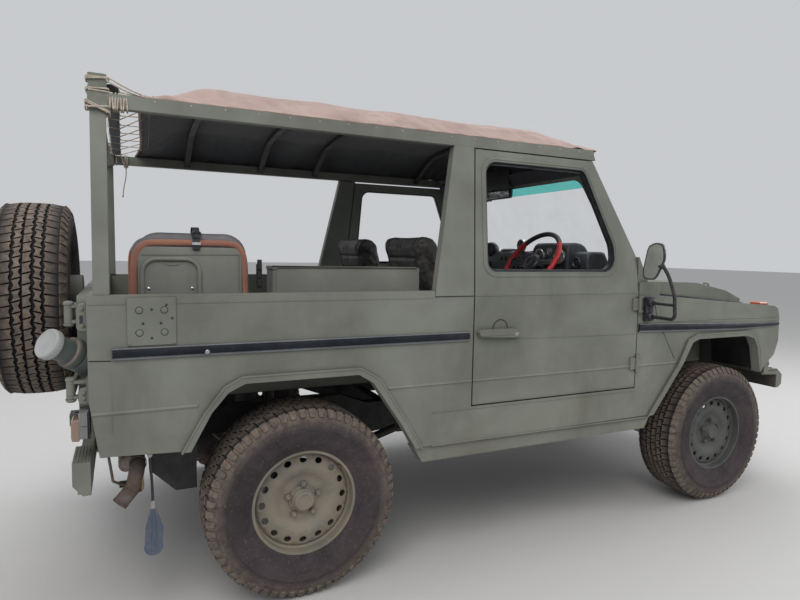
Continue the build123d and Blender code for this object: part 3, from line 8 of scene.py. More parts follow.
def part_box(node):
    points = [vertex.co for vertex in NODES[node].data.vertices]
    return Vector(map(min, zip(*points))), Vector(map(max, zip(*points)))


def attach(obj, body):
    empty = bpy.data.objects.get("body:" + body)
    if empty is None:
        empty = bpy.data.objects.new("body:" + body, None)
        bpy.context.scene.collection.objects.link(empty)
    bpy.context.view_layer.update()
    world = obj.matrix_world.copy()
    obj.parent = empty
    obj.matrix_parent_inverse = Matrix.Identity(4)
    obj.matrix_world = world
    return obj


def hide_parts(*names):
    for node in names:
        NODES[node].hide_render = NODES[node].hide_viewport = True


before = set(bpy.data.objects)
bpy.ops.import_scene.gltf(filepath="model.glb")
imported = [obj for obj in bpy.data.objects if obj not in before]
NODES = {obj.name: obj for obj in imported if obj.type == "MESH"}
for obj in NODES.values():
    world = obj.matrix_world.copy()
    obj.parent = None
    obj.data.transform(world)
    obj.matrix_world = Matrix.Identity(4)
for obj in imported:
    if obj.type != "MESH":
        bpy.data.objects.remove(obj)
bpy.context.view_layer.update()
scene = bpy.context.scene
scene.view_settings.view_transform = "Standard"
MM = 0.001


def centre(node):
    low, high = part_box(node)
    return (low + high) / 2


AXLE_X = centre("tyre_rear_right").x
TYRE_R = centre("tyre_rear_right").z
BODY_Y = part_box("sills")[1].y
FRONT_STATION = (centre("tyre_front_right").x - AXLE_X) / MM


def at(station, y, z):
    """A point from millimetres: forward of the rear axle, to the left, above the ground."""
    return Vector((AXLE_X + station * MM, y * MM, z * MM))


# Camera at the photograph's place
CAMERA_AT = (-1.6157, -2.9814, 1.3804)
CAMERA_YAW = -0.4419
CAMERA_PITCH = -0.0823
CAMERA_ROLL = -0.0184
CAMERA_LENS = 26.26


def make_camera():
    data = bpy.data.cameras.new("photo_camera")
    data.sensor_width = 36
    data.lens = CAMERA_LENS
    camera = bpy.data.objects.new("photo_camera", data)
    scene.collection.objects.link(camera)
    turn = Matrix.Rotation(CAMERA_YAW, 3, "Z") @ Matrix.Rotation(CAMERA_PITCH, 3, "X")
    turn = turn @ Matrix.Rotation(CAMERA_ROLL, 3, "Y")
    right, forward, up = turn.col[0], turn.col[1], turn.col[2]
    axes = Matrix((right, up, -forward)).transposed().to_4x4()
    camera.matrix_world = Matrix.Translation(CAMERA_AT) @ axes
    scene.camera = camera


make_camera()


# Shader graphs: a small writer that adds nodes and links by name
class Shader:
    def __init__(self, name):
        self.material = bpy.data.materials.new(name)
        self.material.use_nodes = True
        self.tree = self.material.node_tree
        self.tree.nodes.clear()
        self.bsdf = self.tree.nodes.new("ShaderNodeBsdfPrincipled")
        output = self.tree.nodes.new("ShaderNodeOutputMaterial")
        self.tree.links.new(self.bsdf.outputs[0], output.inputs[0])

    def put(self, socket, value):
        if isinstance(value, bpy.types.NodeSocket):
            self.tree.links.new(value, socket)
        elif socket.type == "RGBA" and len(value) == 3:
            socket.default_value = (*value, 1)
        else:
            socket.default_value = value

    def set(self, **inputs):
        for key, value in inputs.items():
            self.put(self.bsdf.inputs[key.replace("_", " ")], value)

    def node(self, kind, inputs=None, **settings):
        made = self.tree.nodes.new("ShaderNode" + kind)
        for key, value in settings.items():
            setattr(made, key, value)
        for key, value in (inputs or {}).items():
            self.put(made.inputs[key], value)
        return made

    def place(self, stretch=(1, 1, 1)):
        """Object coordinates, stretched."""
        source = self.node("TexCoord").outputs["Object"]
        return self.node("Mapping", {"Vector": source, "Scale": stretch}).outputs[0]

    def noise(self, scale, detail=4, rough=0.55, stretch=(1, 1, 1), warp=0.0):
        return self.node("TexNoise", {"Vector": self.place(stretch), "Scale": scale, "Detail": detail,
                                      "Roughness": rough, "Distortion": warp}).outputs["Fac"]

    def ramp(self, value, low, high, a=0.0, b=1.0):
        """Value from low to high becomes a to b, clamped."""
        return self.node("MapRange", {"Value": value, "From Min": low, "From Max": high,
                                      "To Min": a, "To Max": b}).outputs[0]

    def mix(self, share, a, b):
        """Colour a, with b's share laid over it."""
        return self.node("Mix", {0: share, 6: a, 7: b}, data_type="RGBA").outputs[2]

    def math(self, how, a, b):
        return self.node("Math", {0: a, 1: b}, operation=how).outputs[0]

    def bump(self, height, strength, distance, soft=0.0):
        made = self.node("Bump", {"Height": height, "Strength": strength, "Distance": distance})
        if soft:
            rounded_edge = self.node("Bevel", {"Radius": soft}, samples=4)
            self.put(made.inputs["Normal"], rounded_edge.outputs[0])
        self.set(Normal=made.outputs[0])

    def height_above(self):
        """The object's own height coordinate in metres."""
        source = self.node("TexCoord").outputs["Object"]
        return self.node("SeparateXYZ", {"Vector": source}).outputs["Z"]

    def facing_up(self):
        normal = self.node("NewGeometry").outputs["Normal"]
        return self.node("SeparateXYZ", {"Vector": normal}).outputs["Z"]

    def shade_in_crevices(self, distance):
        """Painted shade mask from ambient occlusion: 1 in corners and gaps, 0 in the open."""
        open_share = self.node("AmbientOcclusion", {"Distance": distance}, samples=4).outputs["AO"]
        return self.ramp(open_share, 0.85, 0.35)


def srgb(r, g, b):
    """An 8-bit display colour as linear light."""
    return tuple(((c / 255 + 0.055) / 1.055) ** 2.4 if c > 10 else c / 255 / 12.92 for c in (r, g, b))


def dim(colour, share):
    return tuple(c * share for c in colour)


def bleach(colour, gain, lift):
    return tuple(min(1, c * gain + lift) for c in colour)


DUST = srgb(150, 132, 114)


def paint_material(name, colour, dust_low, dust_top=0.30, worn=0.5):
    """Brushed-on matt paint: patchy colour, fine orange peel, dust below and on top, pale worn chips."""
    s = Shader(name)
    pale = bleach(colour, 1.20, 0.008)
    patches = s.noise(2.3, 5, 0.6, warp=0.4)
    base = s.mix(s.ramp(patches, 0.36, 0.64), dim(colour, 0.84), pale)
    streaks = s.noise(9, 3, 0.6, stretch=(1.0, 1.0, 0.12))
    base = s.mix(s.ramp(streaks, 0.50, 0.72, 0, 0.30), base, pale)
    speckle = s.noise(150, 2, 0.7)
    base = s.mix(s.ramp(speckle, 0.60, 0.74, 0, 0.22), base, DUST)
    low = s.ramp(s.height_above(), 0.95, 0.42, 0, dust_low)
    up = s.ramp(s.facing_up(), 0.55, 0.98, 0, dust_top)
    cloud = s.ramp(s.noise(5.5, 6, 0.65, warp=0.8), 0.34, 0.66)
    dusty = s.math("MULTIPLY", s.math("MAXIMUM", low, up), cloud)
    base = s.mix(dusty, base, DUST)
    # Painted shade: corners and gaps darkened towards dark brown by ambient occlusion.
    base = s.mix(s.math("MULTIPLY", s.shade_in_crevices(0.02), 0.55), base, srgb(58, 52, 44))
    chips = s.math("MULTIPLY", s.ramp(s.noise(70, 4, 0.75), 0.66, 0.70),
                   s.ramp(s.noise(4, 4, 0.7), 0.50, 0.66))
    base = s.mix(s.math("MULTIPLY", chips, worn), base, srgb(160, 152, 134))
    rough = s.ramp(s.noise(14, 4, 0.6), 0.3, 0.7, 0.51, 0.72)
    s.set(Base_Color=base, Roughness=rough, Specular_IOR_Level=0.42)
    waves = s.math("MULTIPLY", s.noise(26, 3, 0.5), 1.6)
    s.bump(s.math("ADD", s.noise(420, 2, 0.5), waves), 0.16, 0.0006, soft=0.0025)
    return s.material


def black_material(name, colour=(0.012, 0.013, 0.014), dust=0.55):
    """Black underbody paint with road dust."""
    s = Shader(name)
    cloud = s.ramp(s.noise(7, 6, 0.68, warp=0.6), 0.42, 0.74, 0, dust)
    up = s.ramp(s.facing_up(), 0.0, 0.9, 0.35, 1.0)
    base = s.mix(s.math("MULTIPLY", cloud, up), colour, srgb(104, 88, 74))
    s.set(Base_Color=base, Roughness=s.ramp(s.noise(20, 3), 0.3, 0.7, 0.52, 0.80))
    s.bump(s.noise(180, 4, 0.6), 0.25, 0.001)
    return s.material


def rusty_material(name):
    """Old exhaust steel: brown rust, flakes and grey dust."""
    s = Shader(name)
    rust = s.mix(s.ramp(s.noise(26, 6, 0.7), 0.35, 0.65), srgb(88, 74, 68), srgb(134, 108, 94))
    base = s.mix(s.ramp(s.noise(8, 5, 0.7, warp=1.0), 0.36, 0.60, 0, 0.8), rust, srgb(134, 127, 122))
    s.set(Base_Color=base, Roughness=0.86, Metallic=0.15)
    s.bump(s.noise(210, 5, 0.7), 0.6, 0.0012)
    return s.material


def plastic_material(name, colour, rough, grain=900, depth=0.2, dust=0.18, shine=0.5):
    s = Shader(name)
    base = s.mix(s.ramp(s.noise(6, 5, 0.6, warp=0.5), 0.35, 0.7), colour, bleach(colour, 1.5, 0.012))
    base = s.mix(s.ramp(s.noise(40, 4, 0.7), 0.52, 0.75, 0, dust), base, DUST)
    s.set(Base_Color=base, Roughness=s.ramp(s.noise(11, 3), 0.3, 0.7, rough - 0.07, rough + 0.12),
          Specular_IOR_Level=shine)
    s.bump(s.noise(grain, 2, 0.5), depth, 0.0004)
    return s.material


def metal_material(name, colour, rough):
    s = Shader(name)
    brushed = s.noise(160, 3, 0.6, stretch=(1, 1, 0.06))
    base = s.mix(s.ramp(brushed, 0.35, 0.65, 0, 0.35), colour, dim(colour, 0.6))
    base = s.mix(s.ramp(s.noise(9, 5, 0.7, warp=0.8), 0.55, 0.75, 0, 0.5), base, srgb(92, 74, 60))
    s.set(Base_Color=base, Metallic=0.9, Roughness=s.ramp(s.noise(18, 4), 0.3, 0.7, rough - 0.1, rough + 0.2))
    s.bump(s.noise(300, 3, 0.6), 0.12, 0.0005)
    return s.material


def glass_material(name, colour, film):
    """Thin dusty glass: mostly see-through, with a patchy film of dust."""
    s = Shader(name)
    patchy = s.ramp(s.noise(7, 6, 0.7, warp=0.7), 0.35, 0.75, film * 0.5, film * 1.5)
    s.set(Base_Color=colour, Roughness=0.03, Alpha=patchy, Specular_IOR_Level=0.6)
    return s.material


def tint_material(name, colour):
    """Coloured film that filters the light through it, with a little dust."""
    s = Shader(name)
    film = s.mix(s.ramp(s.noise(9, 4), 0.4, 0.8, 0, 0.12), colour, dim(colour, 0.8))
    s.set(Base_Color=film, Transmission_Weight=0.95, IOR=1.02, Roughness=0.02)
    return s.material


def lens_material(name, colour, rough=0.16):
    s = Shader(name)
    ribs = s.node("TexWave", {"Vector": s.place(), "Scale": 60.0}, bands_direction="Y")
    tint = s.mix(s.ramp(s.noise(12, 3), 0.3, 0.7, 0, 0.4), colour, dim(colour, 0.6))
    s.set(Base_Color=tint, Roughness=rough, Coat_Weight=0.5, Transmission_Weight=0.25)
    s.bump(ribs.outputs["Fac"], 0.35, 0.0008)
    return s.material


def canvas_material(name, colour, pale, weave=0.35, stain=0.5):
    """Heavy canvas: plain weave, bleached patches, dark stains."""
    s = Shader(name)
    warp, weft = (s.node("TexWave", {"Vector": s.place(), "Scale": 260.0, "Distortion": 1.2},
                         bands_direction=way).outputs["Fac"] for way in "XY")
    threads = s.math("ADD", warp, weft)
    base = s.mix(s.ramp(s.noise(3.2, 6, 0.65, warp=0.7), 0.34, 0.68), colour, pale)
    base = s.mix(s.ramp(s.noise(17, 5, 0.7), 0.5, 0.78, 0, stain), base, dim(colour, 0.62))
    base = s.mix(s.ramp(threads, 0.4, 1.6, 0.22, 0), base, dim(colour, 0.55))
    s.set(Base_Color=base, Roughness=0.93, Sheen_Weight=0.25, Sheen_Roughness=0.6, Specular_IOR_Level=0.2)
    s.bump(s.math("ADD", threads, s.math("MULTIPLY", s.noise(60, 3), 1.2)), weave, 0.0006)
    return s.material


def vinyl_material(name, colour, rough=0.5):
    """Leather-like seat vinyl with grain, creases and dust."""
    s = Shader(name)
    base = s.mix(s.ramp(s.noise(4, 5, 0.6, warp=0.6), 0.35, 0.68), colour, bleach(colour, 1.6, 0.01))
    base = s.mix(s.ramp(s.noise(21, 5, 0.7), 0.5, 0.75, 0, 0.35), base, DUST)
    cells = s.node("TexVoronoi", {"Vector": s.place(), "Scale": 420.0}, feature="DISTANCE_TO_EDGE")
    s.set(Base_Color=base, Roughness=s.ramp(s.noise(12, 3), 0.3, 0.7, rough - 0.08, rough + 0.15))
    grain = s.math("ADD", s.ramp(cells.outputs["Distance"], 0.0, 0.25),
                   s.math("MULTIPLY", s.noise(18, 5, 0.65), 2.5))
    s.bump(grain, 0.3, 0.0007)
    return s.material


def rope_material(name):
    s = Shader(name)
    wave = s.node("TexWave", {"Vector": s.place(), "Scale": 190.0, "Distortion": 2.5},
                  bands_direction="DIAGONAL")
    base = s.mix(s.ramp(s.noise(30, 4), 0.35, 0.7), srgb(206, 196, 182), srgb(166, 150, 134))
    s.set(Base_Color=base, Roughness=0.95)
    s.bump(wave.outputs["Fac"], 0.6, 0.001)
    return s.material


def tyre_material(name):
    """Dusty rubber: the tread's faces hold brown dust, the grooves get painted shade darker than the bare
    rubber, the side is purple grey.
    """
    s = Shader(name)
    radial = s.node("Attribute", attribute_name="radial").outputs["Fac"]
    groove = s.node("Attribute", attribute_name="groove").outputs["Fac"]
    side = s.mix(s.ramp(s.noise(5, 6, 0.66, warp=0.7), 0.32, 0.70), srgb(48, 43, 45), srgb(78, 69, 71))
    tread = s.mix(s.ramp(s.noise(38, 5, 0.7), 0.35, 0.68), srgb(84, 75, 70), srgb(128, 115, 104))
    base = s.mix(s.ramp(radial, 0.80, 0.93), side, tread)
    base = s.mix(s.ramp(s.noise(90, 3, 0.7), 0.58, 0.76, 0, 0.4), base, srgb(132, 118, 106))
    # Painted shade: the grooves darkened past the rubber's own colour.
    base = s.mix(groove, base, srgb(30, 27, 27))
    # Painted shade: corners and gaps darkened by ambient occlusion.
    base = s.mix(s.math("MULTIPLY", s.shade_in_crevices(0.008), 0.75), base, srgb(22, 20, 20))
    s.set(Base_Color=base, Roughness=s.ramp(s.noise(16, 4), 0.3, 0.7, 0.74, 0.93), Specular_IOR_Level=0.32)
    s.bump(s.math("ADD", s.noise(520, 3, 0.6), s.math("MULTIPLY", s.noise(48, 3), 1.0)), 0.28, 0.0007)
    return s.material


PAINT = paint_material("olive_paint", srgb(113, 116, 107), dust_top=0.16, dust_low=0.20)
INSIDE_PAINT = paint_material("inside_paint", srgb(98, 100, 92), dust_low=0.3, worn=0.7)
# Paler paint of the folded pans; the locker takes it too, as a painted highlight.
PAN_AND_LIT_LOCKER_PAINT = paint_material("pan_and_lit_locker_paint", srgb(126, 126, 120), dust_low=0.2, worn=0.7)
BOW_PAINT = paint_material("bow_paint", srgb(52, 54, 52), dust_low=0.1, worn=0.4)
RIM_PAINT = paint_material("rim_paint", srgb(110, 110, 100), dust_top=0.5, dust_low=0.7, worn=0.8)
# Painted shade: the front rims get a darker, less dusty copy of the rim paint.
FRONT_RIM_SHADED_PAINT = paint_material("front_rim_painted_shade", srgb(66, 72, 70), dust_top=0.3, dust_low=0.15, worn=0.5)
BLACK = black_material("underbody_black")
IRON = black_material("dull_iron", (0.03, 0.028, 0.026), 0.75)
BUMPER_GREY = paint_material("bumper_grey", srgb(66, 67, 64), dust_top=0.35, dust_low=0.4, worn=0.7)
RUST = rusty_material("rusty_steel")
STEEL = metal_material("worn_steel", (0.42, 0.41, 0.39), 0.42)
CHROME = metal_material("bright_metal", (0.75, 0.75, 0.74), 0.16)
PLASTIC = plastic_material("black_plastic", (0.014, 0.015, 0.018), 0.42)
DASH = plastic_material("dash_vinyl", (0.020, 0.026, 0.034), 0.5, grain=500, depth=0.35)
RUBBER = plastic_material("black_rubber", (0.016, 0.019, 0.026), 0.55)
STRIP_BLACK = plastic_material("strip_rubber", (0.005, 0.008, 0.013), 0.5, dust=0.05, shine=0.2)
# Pale grey for the rub strips' edges: their own light edge colour, with a painted highlight on the upper
# bulge.
STRIP_EDGE_AND_HIGHLIGHT = plastic_material("strip_edge_and_highlight", srgb(92, 94, 98), 0.5)
TYRE = tyre_material("dusty_tyre")
CANVAS_TOP = canvas_material("bleached_canvas", srgb(142, 114, 104), srgb(176, 149, 139))
CANVAS_UNDER = canvas_material("canvas_underside", srgb(34, 38, 46), srgb(52, 54, 60))
EDGE_BAND = canvas_material("orange_binding", srgb(150, 98, 80), srgb(172, 122, 102), 0.5)
VINYL = vinyl_material("seat_vinyl", (0.022, 0.020, 0.020))
PAD_VINYL = vinyl_material("pad_vinyl", srgb(92, 90, 94))
ROPE = rope_material("rope")
GLASS = glass_material("screen_glass", (0.80, 0.88, 0.86), film=0.045)
TINT = tint_material("green_tint", (0.22, 0.78, 0.72))
MIRROR = metal_material("mirror_glass", (0.86, 0.88, 0.88), 0.05)
LAMP_LENS = lens_material("lamp_lens", (0.78, 0.80, 0.80))
AMBER = lens_material("amber_lens", srgb(196, 92, 52), 0.3)
RED = vinyl_material("red_grip", srgb(168, 22, 26), 0.45)


def circle(place, a, b, radius, count):
    """Points round a place, in the plane of two directions."""
    return [place + a * radius * math.cos(turn) + b * radius * math.sin(turn) for turn in turns_of(count)]


def in_metres(pairs):
    return [(a * MM, b * MM) for a, b in pairs]


def turns_of(count):
    return [2 * math.pi * k / count for k in range(count)]


def heading(path, i):
    """Direction of a path at its point i."""
    return (path[min(i + 1, len(path) - 1)] - path[max(i - 1, 0)]).normalized()


class Shape:
    """Collects solid forms, in metres in the row frame, and makes one piece of them."""

    def __init__(self):
        self.points, self.faces, self.marks = [], [], []

    def add(self, points, faces, mark=0):
        start = len(self.points)
        self.points += [Vector(p) for p in points]
        self.faces += [tuple(start + i for i in face) for face in faces]
        self.marks += [mark] * len(faces)

    def loft(self, rings, closed=True, caps=True, mark=0):
        """Joins rings of equally many points, in order, with end caps."""
        count = len(rings[0])
        points = [p for ring in rings for p in ring]
        faces = []
        for i in range(len(rings) - 1):
            for j in range(count if closed else count - 1):
                k = (j + 1) % count
                faces.append((i * count + j, i * count + k, (i + 1) * count + k, (i + 1) * count + j))
        if caps:
            faces.append(tuple(reversed(range(count))))
            faces.append(tuple(range((len(rings) - 1) * count, len(rings) * count)))
        self.add(points, faces, mark)

    def box(self, low, high, mark=0):
        (x0, y0, z0), (x1, y1, z1) = low, high
        ring = [(x0, y0), (x1, y0), (x1, y1), (x0, y1)]
        self.loft([[(x, y, z) for x, y in ring] for z in (z0, z1)], mark=mark)

    def slab(self, outline, y0, y1):
        """A side outline of (station, height) in millimetres, from y0 to y1."""
        self.loft([[at(x, y, z) for x, z in outline] for y in (y0, y1)])

    def rod(self, start, end, radius, sides, end_radius=None, mark=0):
        start, end = Vector(start), Vector(end)
        axis = (end - start).normalized()
        side = axis.orthogonal().normalized()
        up = axis.cross(side)
        ends = ((start, radius), (end, end_radius or radius))
        self.loft([circle(place, side, up, r, sides) for place, r in ends], mark=mark)

    def lathe(self, profile, origin, axis, steps, mark=0):
        """Turns a profile of (along, radius) about the axis through the origin."""
        origin, axis = Vector(origin), Vector(axis).normalized()
        side = axis.orthogonal().normalized()
        up = axis.cross(side)
        rings = []
        for k in range(steps):
            angle = 2 * math.pi * k / steps
            out = side * math.cos(angle) + up * math.sin(angle)
            rings.append([origin + axis * along + out * max(radius, 1e-5) for along, radius in profile])
        rings.append(rings[0])
        self.loft(rings, closed=False, caps=False, mark=mark)

    def tube(self, path, radius, sides, mark=0):
        """A round bar along points; radius is one value or one for each point."""
        path = [Vector(p) for p in path]
        side = (path[1] - path[0]).orthogonal().normalized()
        rings = []
        for i, p in enumerate(path):
            ahead = heading(path, i)
            side = (side - ahead * side.dot(ahead)).normalized()
            up = ahead.cross(side)
            r = radius[i] if isinstance(radius, (list, tuple)) else radius
            rings.append(circle(p, side, up, r, sides))
        self.loft(rings, mark=mark)

    def mirror(self):
        """Adds the same forms on the other side of the car."""
        start = len(self.points)
        self.points += [Vector((p.x, -p.y, p.z)) for p in self.points]
        self.faces += [tuple(start + i for i in reversed(face)) for face in self.faces]
        self.marks += self.marks

    def flip(self):
        """Moves the forms to the other side of the car."""
        self.points = [Vector((p.x, -p.y, p.z)) for p in self.points]

    def piece(self, name, body, materials, slot, bevel=0.0, smooth=35, turn=None):
        if not isinstance(materials, (list, tuple)):
            materials = [materials]
        mesh = bpy.data.meshes.new(name)
        mesh.from_pydata([tuple(p) for p in self.points], [], self.faces)
        for material in materials:
            mesh.materials.append(material)
        mesh.polygons.foreach_set("material_index", self.marks)
        work = bmesh.new()
        work.from_mesh(mesh)
        bmesh.ops.remove_doubles(work, verts=work.verts, dist=1e-6)
        bmesh.ops.recalc_face_normals(work, faces=work.faces)
        work.to_mesh(mesh)
        work.free()
        mesh.polygons.foreach_set("use_smooth", [True] * len(mesh.polygons))
        mesh.set_sharp_from_angle(angle=math.radians(smooth))
        obj = bpy.data.objects.new(name, mesh)
        scene.collection.objects.link(obj)
        if turn is not None:
            obj.matrix_world = turn
        if bevel:
            edge = obj.modifiers.new("edge", "BEVEL")
            edge.width = bevel
            edge.segments = 2
            edge.limit_method = "ANGLE"
            edge.angle_limit = math.radians(40)
            edge.harden_normals = True
        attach(obj, body)
        return obj


def curve_through(points, steps):
    """A smooth line through points, by Catmull-Rom."""
    points = [Vector(p) for p in points]
    ends = [points[0] * 2 - points[1], *points, points[-1] * 2 - points[-2]]
    line = []
    for i in range(1, len(ends) - 2):
        p0, p1, p2, p3 = ends[i - 1:i + 3]
        for k in range(steps):
            t = k / steps
            a = p1 * 2 + (p2 - p0) * t + (p0 * 2 - p1 * 5 + p2 * 4 - p3) * t * t
            line.append((a + (p1 * 3 - p0 - p2 * 3 + p3) * t * t * t) / 2)
    line.append(points[-1])
    return line


def middle_of(points):
    return Vector((sum(p[0] for p in points) / len(points), sum(p[1] for p in points) / len(points)))


def smoothstep(low, high, value):
    t = min(1, max(0, (value - low) / (high - low)))
    return t * t * (3 - 2 * t)


# The car's own levels and stations, in millimetres
BELT = 1190
BELT_TOP = 1220
ROOF_LOW = 1843
ROOF_TOP = 1890
LEAN = 0.141
SIDE = BODY_Y / MM


def side_y(z):
    """Outer face of the side at a height: flat to the belt, then leaning in."""
    return SIDE - max(0, z - BELT) * LEAN


# Tyres: a smooth carcass with rings on the side, and a pattern of zigzag tread blocks
TREAD_PITCHES = 60
TREAD_FLOOR = 372
TYRE_SIDE = [
    # across from the middle, radius
    (94, 206), (101, 214), (104, 226), (109, 232), (116, 250), (122.5, 276), (125.5, 296), (126.8, 300),
    (126.8, 303), (125.2, 306), (124.5, 322), (122.8, 328), (123.2, 331), (121, 335), (114, 352), (108, 364),
    (101, 373), (96, 376), (60, 378), (58, 374), (0, 374),
]
TREAD_ROWS = [
    # across: inner edge, outer edge, turn offset in pitches, zigzag in millimetres, top radius at each edge
    (-13, 13, 0.0, 7, 385, 385),
    (19, 45, 0.5, 7, 385, 384),
    (51, 96, 0.0, 5, 384, 376),
]


def tyre_mesh():
    shape = Shape()
    right = [(-w, r) for w, r in TYRE_SIDE]
    shape.lathe(in_metres(right + TYRE_SIDE[-2::-1]), (0, 0, 0), (0, 1, 0), steps=144)
    pitch = 2 * math.pi / TREAD_PITCHES

    def spot(w, r, angle):
        return Vector((math.cos(angle) * r * MM, w * MM, math.sin(angle) * r * MM))

    for k in range(TREAD_PITCHES):
        for side in (-1, 1):
            for low, high, offset, zig, r_low, r_high in TREAD_ROWS:
                if low < 0 and side > 0:
                    continue
                a0, a1 = pitch * (k + offset + 0.06), pitch * (k + offset + 0.90)
                mid = (a0 + a1) / 2
                skew = pitch * 0.10
                edge = [
                    (low, a0 + skew), (low + zig, mid + skew), (low, a1 + skew),
                    (high, a1 - skew), (high - (zig if high < 96 else -3), mid - skew), (high, a0 - skew),
                ]
                if low < 0:
                    edge[3:] = [(high, a1 - skew), (high + zig - 7, mid - skew), (high, a0 - skew)]
                tops, lows = [], []
                for w, angle in edge:
                    share = (w - low) / (high - low)
                    r = r_low + (r_high - r_low) * max(0, min(1.1, share))
                    tops.append(spot(side * w, r, angle))
                    lows.append(spot(side * w, TREAD_FLOOR - (6 if w > 90 else 0), angle))
                shape.loft([lows, tops])
            lug = [(97, 376, 0.10), (97, 376, 0.80), (108, 365, 0.76), (117, 348, 0.72), (117, 348, 0.18),
                   (108, 365, 0.14)]
            outer = [spot(side * (w + 3.2), r + 3.4, pitch * (k + t)) for w, r, t in lug]
            inner = [spot(side * (w - 4), r - 5, pitch * (k + t)) for w, r, t in lug]
            shape.loft([inner, outer])
    return shape


WHEEL_PLACES = [
    # name, body, degrees turned to the left
    ("front_right", "wheel_front_right", 0),
    ("front_left", "wheel_front_left", 180),
    ("rear_right", "wheel_rear_right", 0),
    ("rear_left", "wheel_rear_left", 180),
    ("spare", "tail_door", -90),
]


def tyre_marks(mesh):
    """Gives each point how far out it lies, and whether it is down in a groove, where the tyre gets painted
    shade.
    """
    radial = mesh.attributes.new("radial", "FLOAT", "POINT")
    groove = mesh.attributes.new("groove", "FLOAT", "POINT")
    out, deep = [], []
    for v in mesh.vertices:
        r = math.hypot(v.co.x, v.co.z) / TYRE_R
        out.append(r)
        deep.append(1.0 if abs(v.co.y) < 0.097 and 0.955 < r < 0.9835 else 0.0)
    radial.data.foreach_set("value", out)
    groove.data.foreach_set("value", deep)


# Rims: a dished disc with vent holes, a domed middle with nuts, and the well, by sectors
VENTS = 16
VENT_R = 165
VENT_HALF = (12.5, 15)
VENT_BAND = (130, 200)
NUTS_R = 65
STUDS_R = 48
DISC = [
    # radius, across (outer face, from the middle of the tyre outwards)
    (34, 52), (58, 52), (88, 52.5), (98, 56), (116, 66), (130, 69), (150, 67), (166, 64), (182, 62.5),
    (192, 56), (199, 45), (204, 39),
]


def disc_depth(r):
    for (r0, w0), (r1, w1) in zip(DISC, DISC[1:]):
        if r <= r1:
            return w0 + (w1 - w0) * max(0, r - r0) / (r1 - r0)
    return DISC[-1][1]


def rim_mesh():
    shape = Shape()
    # Well and outer flange, turned as one thick wall
    wall = [
        (-97.3, 199), (-97.3, 219), (-95.5, 220.4), (-92.5, 220), (-90.6, 216), (-90.6, 206), (-84, 203.5),
        (-62, 203), (-50, 190), (-30, 182), (10, 182), (30, 195), (62, 203), (90.6, 205), (90.6, 219),
        (93, 220.4), (97.3, 219), (97.3, 201), (60, 199), (28, 190), (8, 177), (-30, 177), (-52, 186),
        (-64, 199), (-97.3, 199),
    ]
    shape.lathe(in_metres(wall), (0, 0, 0), (0, 1, 0), steps=96)

    def spot(r, angle, back):
        flat = Vector((math.cos(angle) * r, 0, math.sin(angle) * r)) * MM
        return flat + Vector((0, -(disc_depth(r) - back) * MM, 0))

    step = 2 * math.pi / VENTS
    across, down = 8, 4
    r0, r1 = VENT_BAND
    for k in range(VENTS):
        middle = step * k
        loop = [(r1, middle - step / 2 + step * j / across) for j in range(across)]
        loop += [(r1 - (r1 - r0) * j / down, middle + step / 2) for j in range(down)]
        loop += [(r0, middle + step / 2 - step * j / across) for j in range(across)]
        loop += [(r0 + (r1 - r0) * j / down, middle - step / 2) for j in range(down)]
        rings = []
        for share in (0.0, 0.5, 0.86, 1.0):
            ring = []
            for r, angle in loop:
                x, z = r * math.cos(angle - middle) - VENT_R, r * math.sin(angle - middle)
                turn = math.atan2(z, x)
                hx, hz = VENT_HALF[0] * math.cos(turn), VENT_HALF[1] * math.sin(turn)
                px, pz = x + (hx - x) * share, z + (hz - z) * share
                rr, aa = math.hypot(px + VENT_R, pz), math.atan2(pz, px + VENT_R) + middle
                ring.append(spot(rr, aa, 0.8 if share == 1.0 else 0.0))
            rings.append(ring)
        rings.append([p + Vector((0, 6 * MM, 0)) for p in rings[-1]])
        shape.loft(rings, caps=False)
    for thick, steps, radii in ((0, 96, (56, 62, 70, 80, 88, 93, 98, 106, 116, 130)),
                                (7, 64, (56, 88, 98, 116, 130, 152))):
        shape.lathe(in_metres((thick - disc_depth(r), r) for r in radii), (0, 0, 0), (0, 1, 0), steps=steps)
    # Hub: stepped dome with a ring and a bare middle
    hub = [
        (-50, 57), (-58, 56), (-60, 53), (-62, 47), (-71, 45), (-74, 42.5), (-75, 40), (-83, 38.5),
        (-86, 36), (-87.5, 32), (-87.5, 27), (-86, 25.5), (-86, 12), (-86.6, 0),
    ]
    shape.lathe(in_metres(hub), (0, 0, 0), (0, 1, 0), steps=48)
    for k in range(5):
        angle = 2 * math.pi * (k + 0.25) / 5
        place = Vector((math.cos(angle) * NUTS_R, 0, math.sin(angle) * NUTS_R)) * MM
        shape.lathe([(-0.050, 0.0175), (-0.0545, 0.0165), (-0.056, 0.0125)], place, (0, 1, 0), steps=20)
        shape.rod(place + Vector((0, -0.054, 0)), place + Vector((0, -0.0695, 0)), 0.0118, sides=6)
        shape.rod(place + Vector((0, -0.069, 0)), place + Vector((0, -0.0745, 0)), 0.0066, sides=12)
        angle += math.pi / 5
        place = Vector((math.cos(angle) * STUDS_R, 0, math.sin(angle) * STUDS_R)) * MM
        shape.rod(place + Vector((0, -0.056, 0)), place + Vector((0, -0.0655, 0)), 0.0062, sides=6)
    shape.rod((0.15, -0.0640, 0.1175), (0.1544, -0.0735, 0.121), 0.0042, sides=10)
    return shape


